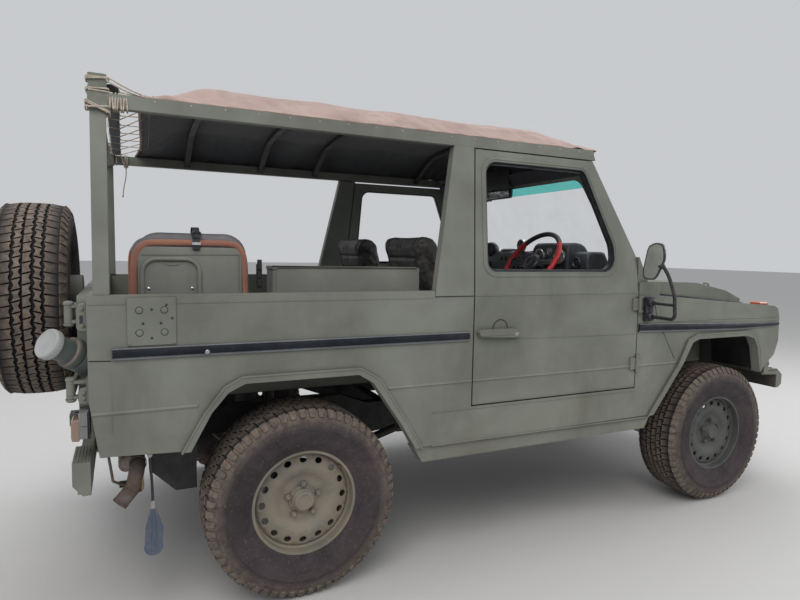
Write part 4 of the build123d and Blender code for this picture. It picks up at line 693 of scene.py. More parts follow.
def make_wheels():
    tyre_data = rim_data = None
    for name, body, turned in WHEEL_PLACES:
        place = Matrix.Translation(centre(f"tyre_{name}")) @ Matrix.Rotation(math.radians(turned), 4, "Z")
        if tyre_data is None:
            tyre = tyre_mesh().piece(f"dusty_tyre_{name}", body, TYRE, "tyre", smooth=28, turn=place)
            tyre_data = tyre.data
            tyre_marks(tyre_data)
            rim = rim_mesh().piece(f"steel_rim_{name}", body, FRONT_RIM_SHADED_PAINT, "paint", smooth=32, turn=place)
            rim_data = rim.data
        else:
            tyre = bpy.data.objects.new(f"dusty_tyre_{name}", tyre_data)
            # The rear and spare rims take the plain rim paint; the front pair keep the darker copy, which is
            # painted shade.
            if name == "rear_right":
                rim_data = rim_data.copy()
                rim_data.materials[0] = RIM_PAINT
            rim = bpy.data.objects.new(f"steel_rim_{name}", rim_data)
            for obj, slot in ((tyre, "tyre"), (rim, "paint")):
                scene.collection.objects.link(obj)
                obj.matrix_world = place
                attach(obj, body)
        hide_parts(f"tyre_{name}")
        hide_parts(f"rim_{name}")


make_wheels()

# Finishes of the CAD nodes that stay as they are
FINISHES = (
    (BLACK, "chassis_rails chassis_crossmembers fuel_tank front_axle rear_axle suspension"),
    (INSIDE_PAINT, "floor_pan wheel_houses seat_frames"),
    (PAINT, "quarter_panels sills b_pillars roof_rails rear_posts windscreen_frame cowl front_fenders "
            "grille_panel bonnet rear_bumper rear_panel door_right door_left rear_door rear_hinges "
            "fuel_filler"),
    (IRON, "engine_block gearbox_and_shafts knuckle_right knuckle_left"), (STEEL, "tie_rod"),
    (RUBBER, "rub_strips strap strap_blade"), (PLASTIC, "steering_wheel mirrors"),
    (ROPE, "rope_knot rope_tail"), (BOW_PAINT, "roof_bows"), (GLASS, "windscreen_glass"),
    (LAMP_LENS, "headlamps"), (AMBER, "signal_lamps"), (BUMPER_GREY, "front_bumper"), (RUST, "exhaust"),
    # The locker gets the paler pan paint as a painted highlight on its lit outer face.
    (DASH, "dashboard"), (VINYL, "seat_pads"), (PAN_AND_LIT_LOCKER_PAINT, "locker"),
)
for finish, node_names in FINISHES:
    for node_name in node_names.split():
        for slot_entry in NODES[node_name].material_slots:
            slot_entry.link = "OBJECT"
            slot_entry.material = finish


# Canvas: one sheet over the bows, closed down to the header in front
CANVAS_BACK = (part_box("canvas_top")[0].x - AXLE_X) / MM
CANVAS_EDGE_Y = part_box("canvas_top")[1].y / MM
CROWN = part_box("canvas_top")[1].z / MM
SHOULDER_Y = 470
SHOULDER = 2022
BOWS = [-285, 145, 495, 1225]
HEADER_X = 1462
CANVAS_NOSE = 1474
HEM_Z = 1908
CANVAS_THICK = 0.0022
SAG = 7
ROW_STEP = 14
HALF_COLUMNS = 64
RIVET_PITCH = 118


def arch(y):
    """Height of the canvas over the bows."""
    y = abs(y)
    if y < SHOULDER_Y:
        return CROWN - (CROWN - SHOULDER) * (y / SHOULDER_Y) ** 2
    t = (y - SHOULDER_Y) / (CANVAS_EDGE_Y - SHOULDER_Y)
    return SHOULDER - (SHOULDER - ROOF_TOP) * (0.55 * t + 0.45 * t * t)


def edge_pull(s):
    """How far the rear edge is drawn forward, for s from -1 at the right to 1 at the left."""
    return (10 + 24 * s) * (1 - abs(s) ** 5)


def ripple(x, seed, scale):
    return noise.noise(Vector((x / scale, seed, 0.37 * seed)))


def canvas_height(x, y):
    share = abs(y) / CANVAS_EDGE_Y
    z = arch(y)
    back = smoothstep(BOWS[0] - 10, CANVAS_BACK - 60, x)
    z -= back * (arch(y) - HEM_Z) * (1 - smoothstep(0.94, 1.0, share))
    front = smoothstep(BOWS[-1] + 10, HEADER_X, x)
    z -= front * 0.44 * (arch(y) - ROOF_TOP)
    for a, b in zip(BOWS, BOWS[1:]):
        if a < x < b:
            z -= SAG * math.sin(math.pi * (x - a) / (b - a)) * (1 - smoothstep(0.86, 1, share))
    edge = smoothstep(0.45, 0.98, share)
    side = 1 if y > 0 else -1
    pucker = ripple(x, 3.1 + side, 46) * 7 + ripple(x, 7.7 + side, 21) * 3
    z += edge * pucker * (1 - smoothstep(0.97, 1.0, share))
    z += 4.0 * noise.noise(Vector((x / 240, y / 150, 1.7)))
    z += 1.5 * noise.noise(Vector((x / 70, y / 60, 4.2)))
    if front > 0:
        fan = math.atan2(abs(y) - SHOULDER_Y + 60, x - BOWS[-1])
        z += 7 * front * (1 - front) * 4 * math.sin(fan * 17) * smoothstep(0.3, 0.8, share)
    if back > 0:
        fan = math.atan2(abs(y) - SHOULDER_Y + 40, BOWS[0] - x)
        z += 5 * back * math.sin(fan * 13) * smoothstep(0.35, 0.8, share) * (1 - smoothstep(0.95, 1.0, share))
    return z


def canvas_rows():
    """Rows of points across the car, from the rear edge to the nose and down to the header."""
    rows = []
    across = [0.35 * math.sin(t * math.pi / 2 / HALF_COLUMNS) + 0.65 * t / HALF_COLUMNS
              for t in range(-HALF_COLUMNS, HALF_COLUMNS + 1)]
    x = CANVAS_BACK + 4
    while x < CANVAS_NOSE:
        row = []
        for s in across:
            y = s * (CANVAS_EDGE_Y - 1)
            pull = edge_pull(s) * smoothstep(CANVAS_BACK + 120, CANVAS_BACK, x)
            row.append((x + pull, y, min(canvas_height(x, y), CROWN - 2)))
        rows.append(row)
        x += ROW_STEP
    last = rows[-1]
    for drop in (0.12, 0.4, 0.7, 1.0):
        row = []
        for bx, y, z in last:
            low = ROOF_LOW + 18 + (ROOF_TOP - ROOF_LOW - 20) * smoothstep(0.90, 1.0, abs(y) / CANVAS_EDGE_Y)
            wave = 3 * math.sin(y / 17) * math.sin(math.pi * drop)
            row.append((min(bx + 3 + wave, CANVAS_NOSE + 2), y, z + (low - z) * drop))
        rows.append(row)
    return rows


def make_canvas():
    rows = canvas_rows()
    count = len(rows[0])
    starts = [i * count + j for i in range(len(rows) - 1) for j in range(count - 1)]
    mesh = bpy.data.meshes.new("canvas_sheet")
    mesh.from_pydata([at(*p) for row in rows for p in row], [],
                     [(i, i + count, i + count + 1, i + 1) for i in starts])
    for material in (CANVAS_TOP, CANVAS_UNDER):
        mesh.materials.append(material)
    mesh.polygons.foreach_set("use_smooth", [True] * len(mesh.polygons))
    canvas = bpy.data.objects.new("canvas_sheet", mesh)
    scene.collection.objects.link(canvas)
    skin = canvas.modifiers.new("skin", "SOLIDIFY")
    skin.thickness = CANVAS_THICK
    skin.offset = -1.0
    skin.material_offset = 1
    skin.material_offset_rim = 0
    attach(canvas, "body")
    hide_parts("canvas_top")
    # Hem at the rear edge, and the clamp strip with rivets along each rail
    hem = Shape()
    hem.tube([at(x - 2, y, z - 3) for x, y, z in rows[0]], 0.0055, sides=8)
    hem.tube([at(x + 34, y, z + 0.6) for x, y, z in rows[0]], 0.0011, sides=5)
    hem.piece("canvas_hem", "body", CANVAS_TOP, "canvas")
    clamp = Shape()
    rivets = Shape()
    edge_y = CANVAS_EDGE_Y - 0.5
    clamp.box(at(CANVAS_BACK + 6, -edge_y, ROOF_TOP - 21), at(HEADER_X - 6, -edge_y + 2.5, ROOF_TOP - 3))
    clamp.mirror()
    x = CANVAS_BACK + 40
    while x < HEADER_X - 20:
        place = at(x, -edge_y + 0.5, ROOF_TOP - 12)
        rivets.lathe([(0.0, 0.0042), (-0.0008, 0.0042), (-0.0026, 0.0026), (-0.0031, 0.0)], place, (0, 1, 0),
                     steps=10)
        x += RIVET_PITCH
    rivets.mirror()
    clamp.piece("canvas_clamps", "body", PAINT, "paint", bevel=0.0008)
    rivets.piece("clamp_rivets", "body", STEEL, "dark_steel")


make_canvas()

# Rear posts: wound caps, black tape, and the rope that laces the canvas back to them
POST_X = (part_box("rear_posts")[0].x - AXLE_X) / MM
POST_W = (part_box("rear_posts")[1].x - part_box("rear_posts")[0].x) / MM
POST_T = 40
ROPE_R = 0.0028
# The taped bar: place across the posts, half its size each way
BAR_X = POST_X + POST_W + 18
BAR_Z = 1912
BAR_Y = 718
BAR_HALF = (21, 17)
LACES = 14
CANVAS_WRAP = canvas_material("green_wrap", srgb(108, 112, 102), srgb(138, 140, 130))
TAPE = canvas_material("black_tape", srgb(28, 29, 32), srgb(44, 44, 47), 0.3, 0.3)


def post_ring(z, grow, side):
    """Four corners round a rear post at a height."""
    outer = side_y(z) + grow
    inner = side_y(z) - POST_T - grow
    x0, x1 = POST_X - grow, POST_X + POST_W + grow
    return [Vector(at(x, side * y, z)) for x, y in ((x0, outer), (x1, outer), (x1, inner), (x0, inner))]


def wrap_post(shape, z0, z1, grow, steps, lumps, side):
    """A cloth wrap round the post, with soft corners."""
    rings = []
    for i in range(steps + 1):
        z = z0 + (z1 - z0) * i / steps
        corners = post_ring(z, grow, side)
        ring = []
        for k in range(4):
            a, b = corners[k], corners[(k + 1) % 4]
            for t in (0.12, 0.5, 0.88):
                p = a.lerp(b, t)
                swell = lumps * noise.noise(Vector((p.x * 30, p.z * 60, 3.0 + side)))
                out = (p - (corners[0] + corners[2]) / 2)
                out.z = 0
                ring.append(p + out.normalized() * swell)
        rings.append(ring)
    shape.loft(rings)


def rope_round(shape, z, side, tilt, grow):
    """One turn of rope round a rear post."""
    corners = post_ring(z, grow, side)
    loop = [corners[k].lerp(corners[(k + 1) % 4], t) for k in range(4) for t in (0.1, 0.5, 0.9)]
    loop = [p + Vector((0, 0, tilt * (p.x - loop[0].x))) for p in loop]
    loop.append(loop[0] + Vector((0, 0, 0.004)))
    shape.tube(curve_through(loop, 3), ROPE_R, sides=8)


def rail_loop(shape, x, side, lean):
    """One turn of rope round the roof rail at a station."""
    loop = []
    for z, inner in ((1841, 0), (1866, 0), (1893, 0), (1893, 46), (1866, 46), (1841, 46), (1841, 0)):
        y = side_y(z) + (3.2 if not inner else -inner - 2)
        loop.append(at(x + lean * (z - 1866) / 26, side * y, z))
    shape.tube(loop, ROPE_R, sides=8)


def make_post_wraps():
    caps = Shape()
    for side in (-1, 1):
        wrap_post(caps, 1903, 1954, 4, 7, 0.0024, side)
        wrap_post(caps, 1838, 1898, 7, 9, 0.0034, side)
    caps.piece("post_caps", "body", CANVAS_WRAP, "canvas", smooth=60)
    # Crossbar between the posts' tops, wound with black tape
    bar = Shape()
    rings = []
    for i in range(97):
        y = -BAR_Y + 2 * BAR_Y * i / 96
        wound = 1.4 * abs(math.sin(i * 0.9)) + 2.0 * noise.noise(Vector((y / 40, 5.5, 0)))
        ring = []
        for turn in turns_of(16):
            reach = 1 / (abs(math.cos(turn)) ** 4 + abs(math.sin(turn)) ** 4) ** 0.25
            ring.append(at(BAR_X + (BAR_HALF[0] + wound) * reach * math.cos(turn), y,
                           BAR_Z + (BAR_HALF[1] + wound) * reach * math.sin(turn)))
        rings.append(ring)
    bar.loft(rings)
    bar.piece("rear_crossbar", "body", TAPE, "rubber", smooth=60)
    ropes = Shape()
    for z, tilt in ((1940, 0.0), (1934, 0.1), (1901, 0.05), (1896, -0.05)):
        rope_round(ropes, z, -1, tilt, 9)
        rope_round(ropes, z, 1, tilt, 9)
    for z, tilt in ((1857, -0.45), (1851, -0.42), (1838, 0.1)):
        rope_round(ropes, z, -1, tilt, 11.5)
    for x, lean in ((-664, 1), (-656, -2), (-648, 1), (-640, 3), (-631, -1), (-622, 2), (-613, -2)):
        rail_loop(ropes, x, -1, lean)
    for x, lean in ((-660, 1), (-618, 2), (-611, -2), (-604, 1)):
        rail_loop(ropes, x, 1, lean)
    # Two ropes from the near post to the canvas corner, and zigzag lacing below them
    for (y0, z0), (x1, y1, z1) in (((-762, 1941), (CANVAS_BACK + 6, -738, 1899)),
                                   ((-760, 1928), (CANVAS_BACK - 8, -730, 1897))):
        start, end = at(POST_X + POST_W + 6, y0, z0), at(x1, y1, z1)
        middle = start.lerp(end, 0.5) - Vector((0, 0, 0.004))
        ropes.tube(curve_through([start, middle, end], 5), ROPE_R, sides=8)
    # Lacing: from the crossbar to the canvas's rear edge and back, all the way across
    run = []
    for i in range(LACES + 1):
        y = -700 + 1400 * i / LACES
        if i % 2:
            edge_x = CANVAS_BACK + 4 + edge_pull(y / CANVAS_EDGE_Y)
            edge_z = canvas_height(CANVAS_BACK + 4, y)
            run += [at(edge_x - 6, y - 5, edge_z + 7), at(edge_x + 12, y, edge_z + 5),
                    at(edge_x + 6, y + 2, edge_z - 6), at(edge_x - 8, y + 5, edge_z - 5)]
        else:
            run += [at(BAR_X + 18, y - 6, BAR_Z - 21), at(BAR_X - 25, y - 2, BAR_Z - 14),
                    at(BAR_X - 25, y + 1, BAR_Z + 14), at(BAR_X + 14, y + 4, BAR_Z + 22),
                    at(BAR_X + 25, y + 7, BAR_Z)]
    ropes.tube(run, ROPE_R * 0.9, sides=7)
    last = at(BAR_X + 21, 706, BAR_Z - 4)
    to_knot = [last, at(-626, 708, 1850), at(-614, 728, 1838), at(-611, 735, 1840)]
    ropes.tube(curve_through(to_knot, 5), ROPE_R, sides=8)
    ropes.piece("lacing_ropes", "body", ROPE, "canvas", smooth=60)


make_post_wraps()

# Body side: plate bolts, rub strips, seams, arch lips, seals and door handle
DOOR_REAR = 737
DOOR_FRONT = FRONT_STATION - 698
PLATE_AT = (-549.5, 1131)
PLATE_BOLTS = (78, 76)


def on_side(x, z, out):
    """A point on the right side's outer face, out millimetres proud of it."""
    return at(x, -(side_y(z) + out), z)


def make_plate():
    shape = Shape()
    px, pz = PLATE_AT
    for dx in (-PLATE_BOLTS[0] / 2, PLATE_BOLTS[0] / 2):
        for dz in (-PLATE_BOLTS[1] / 2, PLATE_BOLTS[1] / 2):
            centre_at = on_side(px + dx, pz + dz, 3.6)
            shape.lathe([(0.0, 0.0124), (0.0012, 0.0122), (0.0014, 0.0104)], centre_at, (0, -1, 0), steps=24,
                        mark=1)
            shape.lathe([(0.0, 0.0104), (0.0022, 0.0100), (0.0030, 0.0080), (0.0032, 0.0)], centre_at,
                        (0, -1, 0), steps=24)
    shape.piece("plate_bolt_rings", "body", [PAINT, BLACK], "paint")
    # Painted shade: black discs stand in for the dark inside of the plate's small holes.
    holes = Shape()
    for dx, dz in ((46, 55), (-1, 40), (64, 9), (-28, -7), (28, -7), (-48, -36), (46, -37), (-1, -57)):
        holes.lathe([(0.0, 0.0048), (0.0006, 0.0040), (0.0004, 0.0)], on_side(px + dx, pz + dz, 4.0),
                    (0, -1, 0), steps=14)
    holes.mirror()
    holes.piece("plate_hole_shade_discs", "body", RUBBER, "black_metal")
    edge = Shape()
    for sx, sz in ((-70, -73), (70, -73), (-70, 73), (70, 73)):
        edge.lathe([(0.0, 0.0062), (0.0016, 0.0052), (0.0024, 0.0)], on_side(px + sx, pz + sz, 4.0),
                   (0, -1, 0), steps=14)
    edge.mirror()
    edge.piece("plate_rivets", "body", PAINT, "paint")


# Rub strip: a rubber section between a grey upper edge and a thin lower one; the upper edge's pale grey is
# partly a painted highlight on its bulge
STRIP_SECTION = [
    # out from the side, height over the strip's middle, share of half its height
    (0.0, 1.00), (5.0, 1.00), (7.5, 0.93), (8.0, 0.80), (6.2, 0.72), (8.8, 0.60), (11.4, 0.34), (11.9, 0.0),
    (11.4, -0.34), (8.8, -0.60), (6.2, -0.76), (7.6, -0.86), (6.5, -1.00), (0.0, -1.00),
]


def paint_strip(obj):
    """Upper edge, middle and lower line get their own finishes by height over the strip; the upper edge's
    pale grey is partly a painted highlight.
    """
    count = len(STRIP_SECTION)
    for poly in obj.data.polygons:
        rows = sorted(v % count for v in poly.vertices)
        if rows[-1] <= 4 or rows[0] >= 9:
            poly.material_index = 1


def make_strips():
    run = [(-672, 1004, 1044), (-300, 1004, 1044), (200, 1003.5, 1043.5), (708, 1003, 1043)]
    front = [(1712, 998, 1042), (2050, 990, 1033), (2480, 981, 1020), (2700, 986, 1015), (2832, 993, 1013)]
    for name, line in (("side", run), ("front", front)):
        for side, label in ((-1, "right"), (1, "left")):
            shape = Shape()
            shape.loft([[on_side(x, (low + high) / 2 + (high - low) / 2 * share, out)
                         for out, share in STRIP_SECTION] for x, low, high in line])
            if side > 0:
                shape.flip()
            obj = shape.piece(f"rub_strip_{name}_{label}", "body", [STRIP_BLACK, STRIP_EDGE_AND_HIGHLIGHT], "rubber",
                              smooth=50)
            paint_strip(obj)
            if name == "side" and side < 0:
                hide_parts("rub_strips")
    knob = Shape()
    knob.lathe([(0, 0.009), (0.003, 0.0085), (0.0055, 0.005), (0.006, 0.0)], on_side(-372, 1018, 8.0),
               (0, -1, 0), steps=20)
    knob.mirror()
    knob.piece("strip_clips", "body", STEEL, "dark_steel")


SEAM_OUT = 0.4


def seam(shape, points, width):
    """A thin dark line along the side, for a joint between panels."""
    for (x0, z0), (x1, z1) in zip(points, points[1:]):
        along = Vector((x1 - x0, 0, z1 - z0)).normalized()
        nx, nz = -along.z * width / 2, along.x * width / 2
        corners = [(x0 + nx, z0 + nz), (x1 + nx, z1 + nz), (x1 - nx, z1 - nz), (x0 - nx, z0 - nz)]
        shape.loft([[on_side(x, z, -0.5) for x, z in corners], [on_side(x, z, SEAM_OUT) for x, z in corners]])


def bead(shape, points, radius, out):
    """A soft raised line along the side."""
    shape.tube([on_side(x, z, out) for x, z in points], radius * MM, sides=8)


def make_seams():
    seams = Shape()
    seam(seams, [(-742, 1005), (-676, 1002)], 4)
    seam(seams, [(DOOR_REAR - 212, 1196), (DOOR_REAR - 8, 1196)], 5)
    seam(seams, [(1811, 1176), (1838, 1078)], 3.5)
    seam(seams, [(1858, 1040), (1985, 845)], 3.5)
    seams.mirror()
    seams.piece("panel_seams", "body", BLACK, "black_metal")
    raised = Shape()
    bead(raised, [(-742, BELT_TOP - 5), (-200, BELT_TOP - 5), (DOOR_REAR - 198, BELT_TOP - 5)], 5.5, -1.5)
    bead(raised, [(-742, BELT_TOP - 30), (DOOR_REAR - 198, BELT_TOP - 30)], 1.4, 0.2)
    bead(raised, [(-676, 1212), (-676, 760)], 1.5, 0.0)
    bead(raised, [(1905, 1046), (2300, 1046), (2815, 1041)], 2.6, 0.2)
    bead(raised, [(DOOR_REAR - 200, 559), (1000, 557), (1815, 551)], 3.5, 0.0)
    bead(raised, [(DOOR_REAR - 200, 703), (1200, 700), (DOOR_FRONT, 698)], 2.4, 0.0)
    raised.mirror()
    raised.piece("pressed_lines", "body", PAINT, "paint", smooth=60)


REAR_FLARE = [(-462, 664), (-386, 796), (-315, 888), (-250, 921), (208, 921), (290, 872), (424, 668),
              (490, 560)]
FRONT_FLARE = [
    (FRONT_STATION - 592, 560), (FRONT_STATION - 388, 817), (FRONT_STATION - 318, 946),
    (FRONT_STATION - 255, 970), (FRONT_STATION + 162, 970), (FRONT_STATION + 238, 944),
    (FRONT_STATION + 276, 875), (FRONT_STATION + 300, 740),
]


def make_flare_lips():
    shape = Shape()
    for line in (REAR_FLARE, FRONT_FLARE):
        inner = [(x * 0.998 + 1, z - 4) for x, z in line]
        shape.tube([on_side(x, z, 10.5) for x, z in inner], 0.0042, sides=8)
    shape.mirror()
    shape.piece("arch_lips", "body", PAINT, "paint", smooth=60)


WINDOW = [(808, 1300), (824, 1790), (FRONT_STATION - 1008, 1790), (FRONT_STATION - 845, 1430),
          (FRONT_STATION - 842, 1300)]
WINDOW_ROUND = [45, 60, 45, 120, 75]
CORNER_STEPS = 6


def rounded(points, radii, grow):
    """A closed outline with rounded corners, grown outwards."""
    count = len(points)
    line = []
    for i, radius in enumerate(radii):
        p = Vector(points[i])
        a = (Vector(points[i - 1]) - p).normalized()
        b = (Vector(points[(i + 1) % count]) - p).normalized()
        turn = math.acos(max(-1, min(1, a.dot(b))))
        reach = radius / math.tan(turn / 2)
        hub = p + (a + b).normalized() * (radius / math.sin(turn / 2))
        start, end = p + a * reach - hub, p + b * reach - hub
        sweep = start.angle_signed(end)
        for k in range(CORNER_STEPS + 1):
            angle = -sweep * k / CORNER_STEPS
            spoke = Vector((
                start.x * math.cos(angle) - start.y * math.sin(angle),
                start.x * math.sin(angle) + start.y * math.cos(angle),
            ))
            line.append(hub + spoke * (1 + grow / radius))
    return line


def ring_frame(shape, inner, outer, out0, out1):
    """A flat frame between two outlines of equally many points, on the right side."""
    count = len(inner)
    points, faces = [], []
    for line, out in ((inner, out0), (outer, out0), (outer, out1), (inner, out1)):
        points += [on_side(x, z, out) for x, z in line]
    for a in range(4):
        b = (a + 1) % 4
        for j in range(count):
            k = (j + 1) % count
            faces.append((a * count + j, a * count + k, b * count + k, b * count + j))
    shape.add(points, faces)


def make_doors():
    """Window seal, inner channel, handle, lock and pressed lines for each door, and its seams."""
    for side, label in ((-1, "right"), (1, "left")):
        body = f"side_door_{label}"
        seal = Shape()
        ring_frame(seal, rounded(WINDOW, WINDOW_ROUND, -3), rounded(WINDOW, WINDOW_ROUND, 9), -12, -1)
        lip = Shape()
        ring_frame(lip, rounded(WINDOW, WINDOW_ROUND, 9), rounded(WINDOW, WINDOW_ROUND, 22), -2, 1.8)
        channel = Shape()
        ring_frame(channel, rounded(WINDOW, WINDOW_ROUND, -12), rounded(WINDOW, WINDOW_ROUND, -1), -32, -14)
        hardware = Shape()
        cup = [(-0.0005, 0.0400), (0.0016, 0.0395), (0.0022, 0.0370), (-0.004, 0.0340), (-0.012, 0.0260),
               (-0.014, 0.0)]
        lines = Shape()
        bead(lines, [(DOOR_REAR + 2, 1196), (DOOR_FRONT - 2, 1196)], 2.2, 0.0)
        bead(lines, [(DOOR_REAR + 2, 722), (DOOR_FRONT - 2, 722)], 1.8, 0.0)
        bead(lines, [(916, 1000), (1300, 995), (1692, 989)], 1.6, 0.0)
        handle = Shape()
        bar = [
            (752, 1043), (770, 1047), (880, 1044), (958, 1038), (970, 1030), (968, 1010), (955, 1004),
            (860, 1008), (770, 1014), (754, 1018),
        ]
        rings = []
        for out, shrink in ((0.0, 0.0), (9, 0.0), (20, 2.5), (25, 6.5)):
            rings.append([on_side(x + (0 if 770 <= x <= 955 else math.copysign(shrink, 860 - x)),
                                  z + math.copysign(min(shrink, 6), 1026 - z), out) for x, z in bar])
        handle.loft(rings)
        hardware.lathe(cup, on_side(872, 1052, 0), (0, -1, 0), steps=32)
        button = on_side(944, 1024, 22)
        knob = Shape()
        knob.lathe([(0, 0.0092), (0.0042, 0.0088), (0.0055, 0.0070), (0.0050, 0.0)], button, (0, -1, 0),
                   steps=20)
        gap = Shape()
        trim = [
            (DOOR_REAR - 3, 714), (DOOR_REAR - 3, 1190), (DOOR_REAR + 35, 1836), (DOOR_REAR + 40, 1840),
        ]
        gap.tube([on_side(x, z, -16) for x, z in trim], 0.0075, sides=6)
        low = [(DOOR_REAR - 2, 713), (1200, 713), (DOOR_FRONT + 3, 713), (DOOR_FRONT + 3, 1180)]
        gap.tube([on_side(x, z, -16) for x, z in low], 0.0062, sides=6)
        window_rubber = Shape()
        window_rubber.tube([on_side(x, z, -18) for x, z in ((830, 1302), (1200, 1302), (1540, 1302))], 0.004,
                           sides=8)
        groups = (
            (seal, "window_seal", body, RUBBER, "rubber"), (lip, "window_recess", body, PAINT, "paint"),
            (channel, "glass_channel", body, PLASTIC, "black_plastic"),
            (lines, "door_lines", body, PAINT, "paint"),
            (handle, "door_handle", body, PAINT, "paint"),
            (hardware, "handle_cup", body, BLACK, "black_metal"),
            (knob, "lock_button", body, STEEL, "dark_steel"), (gap, "door_seal", "body", RUBBER, "rubber"),
            (window_rubber, "glass_wiper", body, RUBBER, "rubber"),
        )
        for shape, name, rides, material, slot in groups:
            if side > 0:
                shape.flip()
            shape.piece(f"{name}_{label}", rides, material, slot, smooth=40,
                        bevel=0.002 if name == "door_handle" else 0.0)


make_plate()
make_strips()
make_seams()
make_flare_lips()
make_doors()

# Seats: cushions swollen by cloth pressure, on plinths in front and on folded pans behind
SEAT_Y = 370
SEAT_W = 480
PLINTH = (DOOR_REAR + 23, DOOR_REAR + 443, 692, 930)
CUSHION_MID = DOOR_REAR + 223
PAN = (-588, -212, 1010, 1384)
FOLD_OUT = 640
VOXEL = 0.0065
PAD_PRESSURE = 4.0
PAD_STIFFNESS = 12
SWELL_FRAMES = 20
BAND_HALF = 12
RIM_SHARES = (0.0, 0.15, 0.4, 0.7, 1.0)


def soft_block(shape, outline, y0, y1, edge, shares=(0.0, 0.12, 0.3, 0.55, 0.8, 1.0)):
    """A side outline from y0 to y1 that shrinks towards its middle at each end, with a round rim."""
    middle = middle_of(outline)
    ahead = 1 if y1 > y0 else -1
    turns = [share * math.pi / 2 for share in shares]
    steps = [(ahead * edge * (1 - math.cos(turn)), edge * (1 - math.sin(turn))) for turn in turns]
    places = [(y0 + run, inset) for run, inset in steps]
    places += [(y1 - run, inset) for run, inset in reversed(steps)]
    rings = []
    for y, inset in places:
        drawn = [Vector(p) + (middle - Vector(p)).normalized() * inset for p in outline]
        rings.append([at(q.x, y, q.y) for q in drawn])
    shape.loft(rings)


def round_rect(x0, x1, z0, z1, radius, steps=8):
    line = []
    for cx, cz, start in ((x1 - radius, z0 + radius, -90), (x1 - radius, z1 - radius, 0),
                          (x0 + radius, z1 - radius, 90), (x0 + radius, z0 + radius, 180)):
        for k in range(steps + 1):
            angle = math.radians(start + 90 * k / steps)
            line.append((cx + radius * math.cos(angle), cz + radius * math.sin(angle)))
    return line


def puff(obj, cap):
    """Swells a pad by cloth pressure; no point moves further than the cap."""
    fine = obj.modifiers.new("fine", "REMESH")
    fine.mode = "VOXEL"
    fine.voxel_size = VOXEL
    mesh = bpy.data.meshes.new_from_object(obj.evaluated_get(bpy.context.evaluated_depsgraph_get()))
    obj.modifiers.clear()
    obj.data = mesh
    start = [v.co.copy() for v in mesh.vertices]
    cloth = obj.modifiers.new("swell", "CLOTH")
    settings = cloth.settings
    settings.quality = 4
    settings.tension_stiffness = settings.compression_stiffness = PAD_STIFFNESS
    settings.use_pressure = True
    settings.uniform_pressure_force = PAD_PRESSURE
    settings.effector_weights.gravity = 0
    cloth.point_cache.frame_start = 1
    cloth.point_cache.frame_end = SWELL_FRAMES
    for frame_number in range(1, SWELL_FRAMES + 1):
        scene.frame_set(frame_number)
    swollen = bpy.data.meshes.new_from_object(obj.evaluated_get(bpy.context.evaluated_depsgraph_get()))
    moved = [v.co.copy() for v in swollen.vertices]
    bpy.data.meshes.remove(swollen)
    obj.modifiers.clear()
    for v, p, q in zip(mesh.vertices, start, moved):
        step = q - p
        v.co = p + step * min(1, cap / max(step.length, 1e-9))
    scene.frame_set(1)
    mesh.polygons.foreach_set("use_smooth", [True] * len(mesh.polygons))


def groove(mesh, distance_to, depth, width):
    """Sinks the points that lie near a seam, along their normals."""
    for v in mesh.vertices:
        d = distance_to(v.co)
        if d < width:
            v.co -= v.normal * depth * (1 - smoothstep(0, width, d))


def cushion_shape(side):
    """Seat cushion of one side, a little under its CAD size."""
    shape = Shape()
    y = side * SEAT_Y
    rings = []
    for z, inset in ((934, 26), (938, 16), (950, 9), (1000, 7), (1030, 12), (1041, 24), (1044, 44)):
        line = round_rect(CUSHION_MID - 235 + inset, CUSHION_MID + 235 - inset,
                          y - SEAT_W / 2 + inset, y + SEAT_W / 2 - inset, 58 - inset / 2, 6)
        rings.append([at(px, py, z) for px, py in line])
    shape.loft(rings)
    return shape


BACK_LINE = [(CUSHION_MID - 262, 1060), (CUSHION_MID - 362, 1432), (CUSHION_MID - 352, 1456),
             (CUSHION_MID - 318, 1463), (CUSHION_MID - 286, 1454), (CUSHION_MID - 266, 1430),
             (CUSHION_MID - 168, 1060)]


def back_shape(side):
    shape = Shape()
    y = side * SEAT_Y
    middle = middle_of(BACK_LINE)
    rings = []
    for across_y, share in ((-232, 0.10), (-230, 0.05), (-220, 0.015), (-190, 0.0), (190, 0.0), (220, 0.015),
                            (230, 0.05), (232, 0.10)):
        ring = []
        for x, z in BACK_LINE:
            top = smoothstep(1300, 1463, z)
            pulled = across_y * (1 - 0.14 * top)
            p = Vector((x, z)) + (middle - Vector((x, z))) * share
            ring.append(at(p.x, y + pulled, p.y))
        rings.append(ring)
    shape.loft(rings)
    return shape


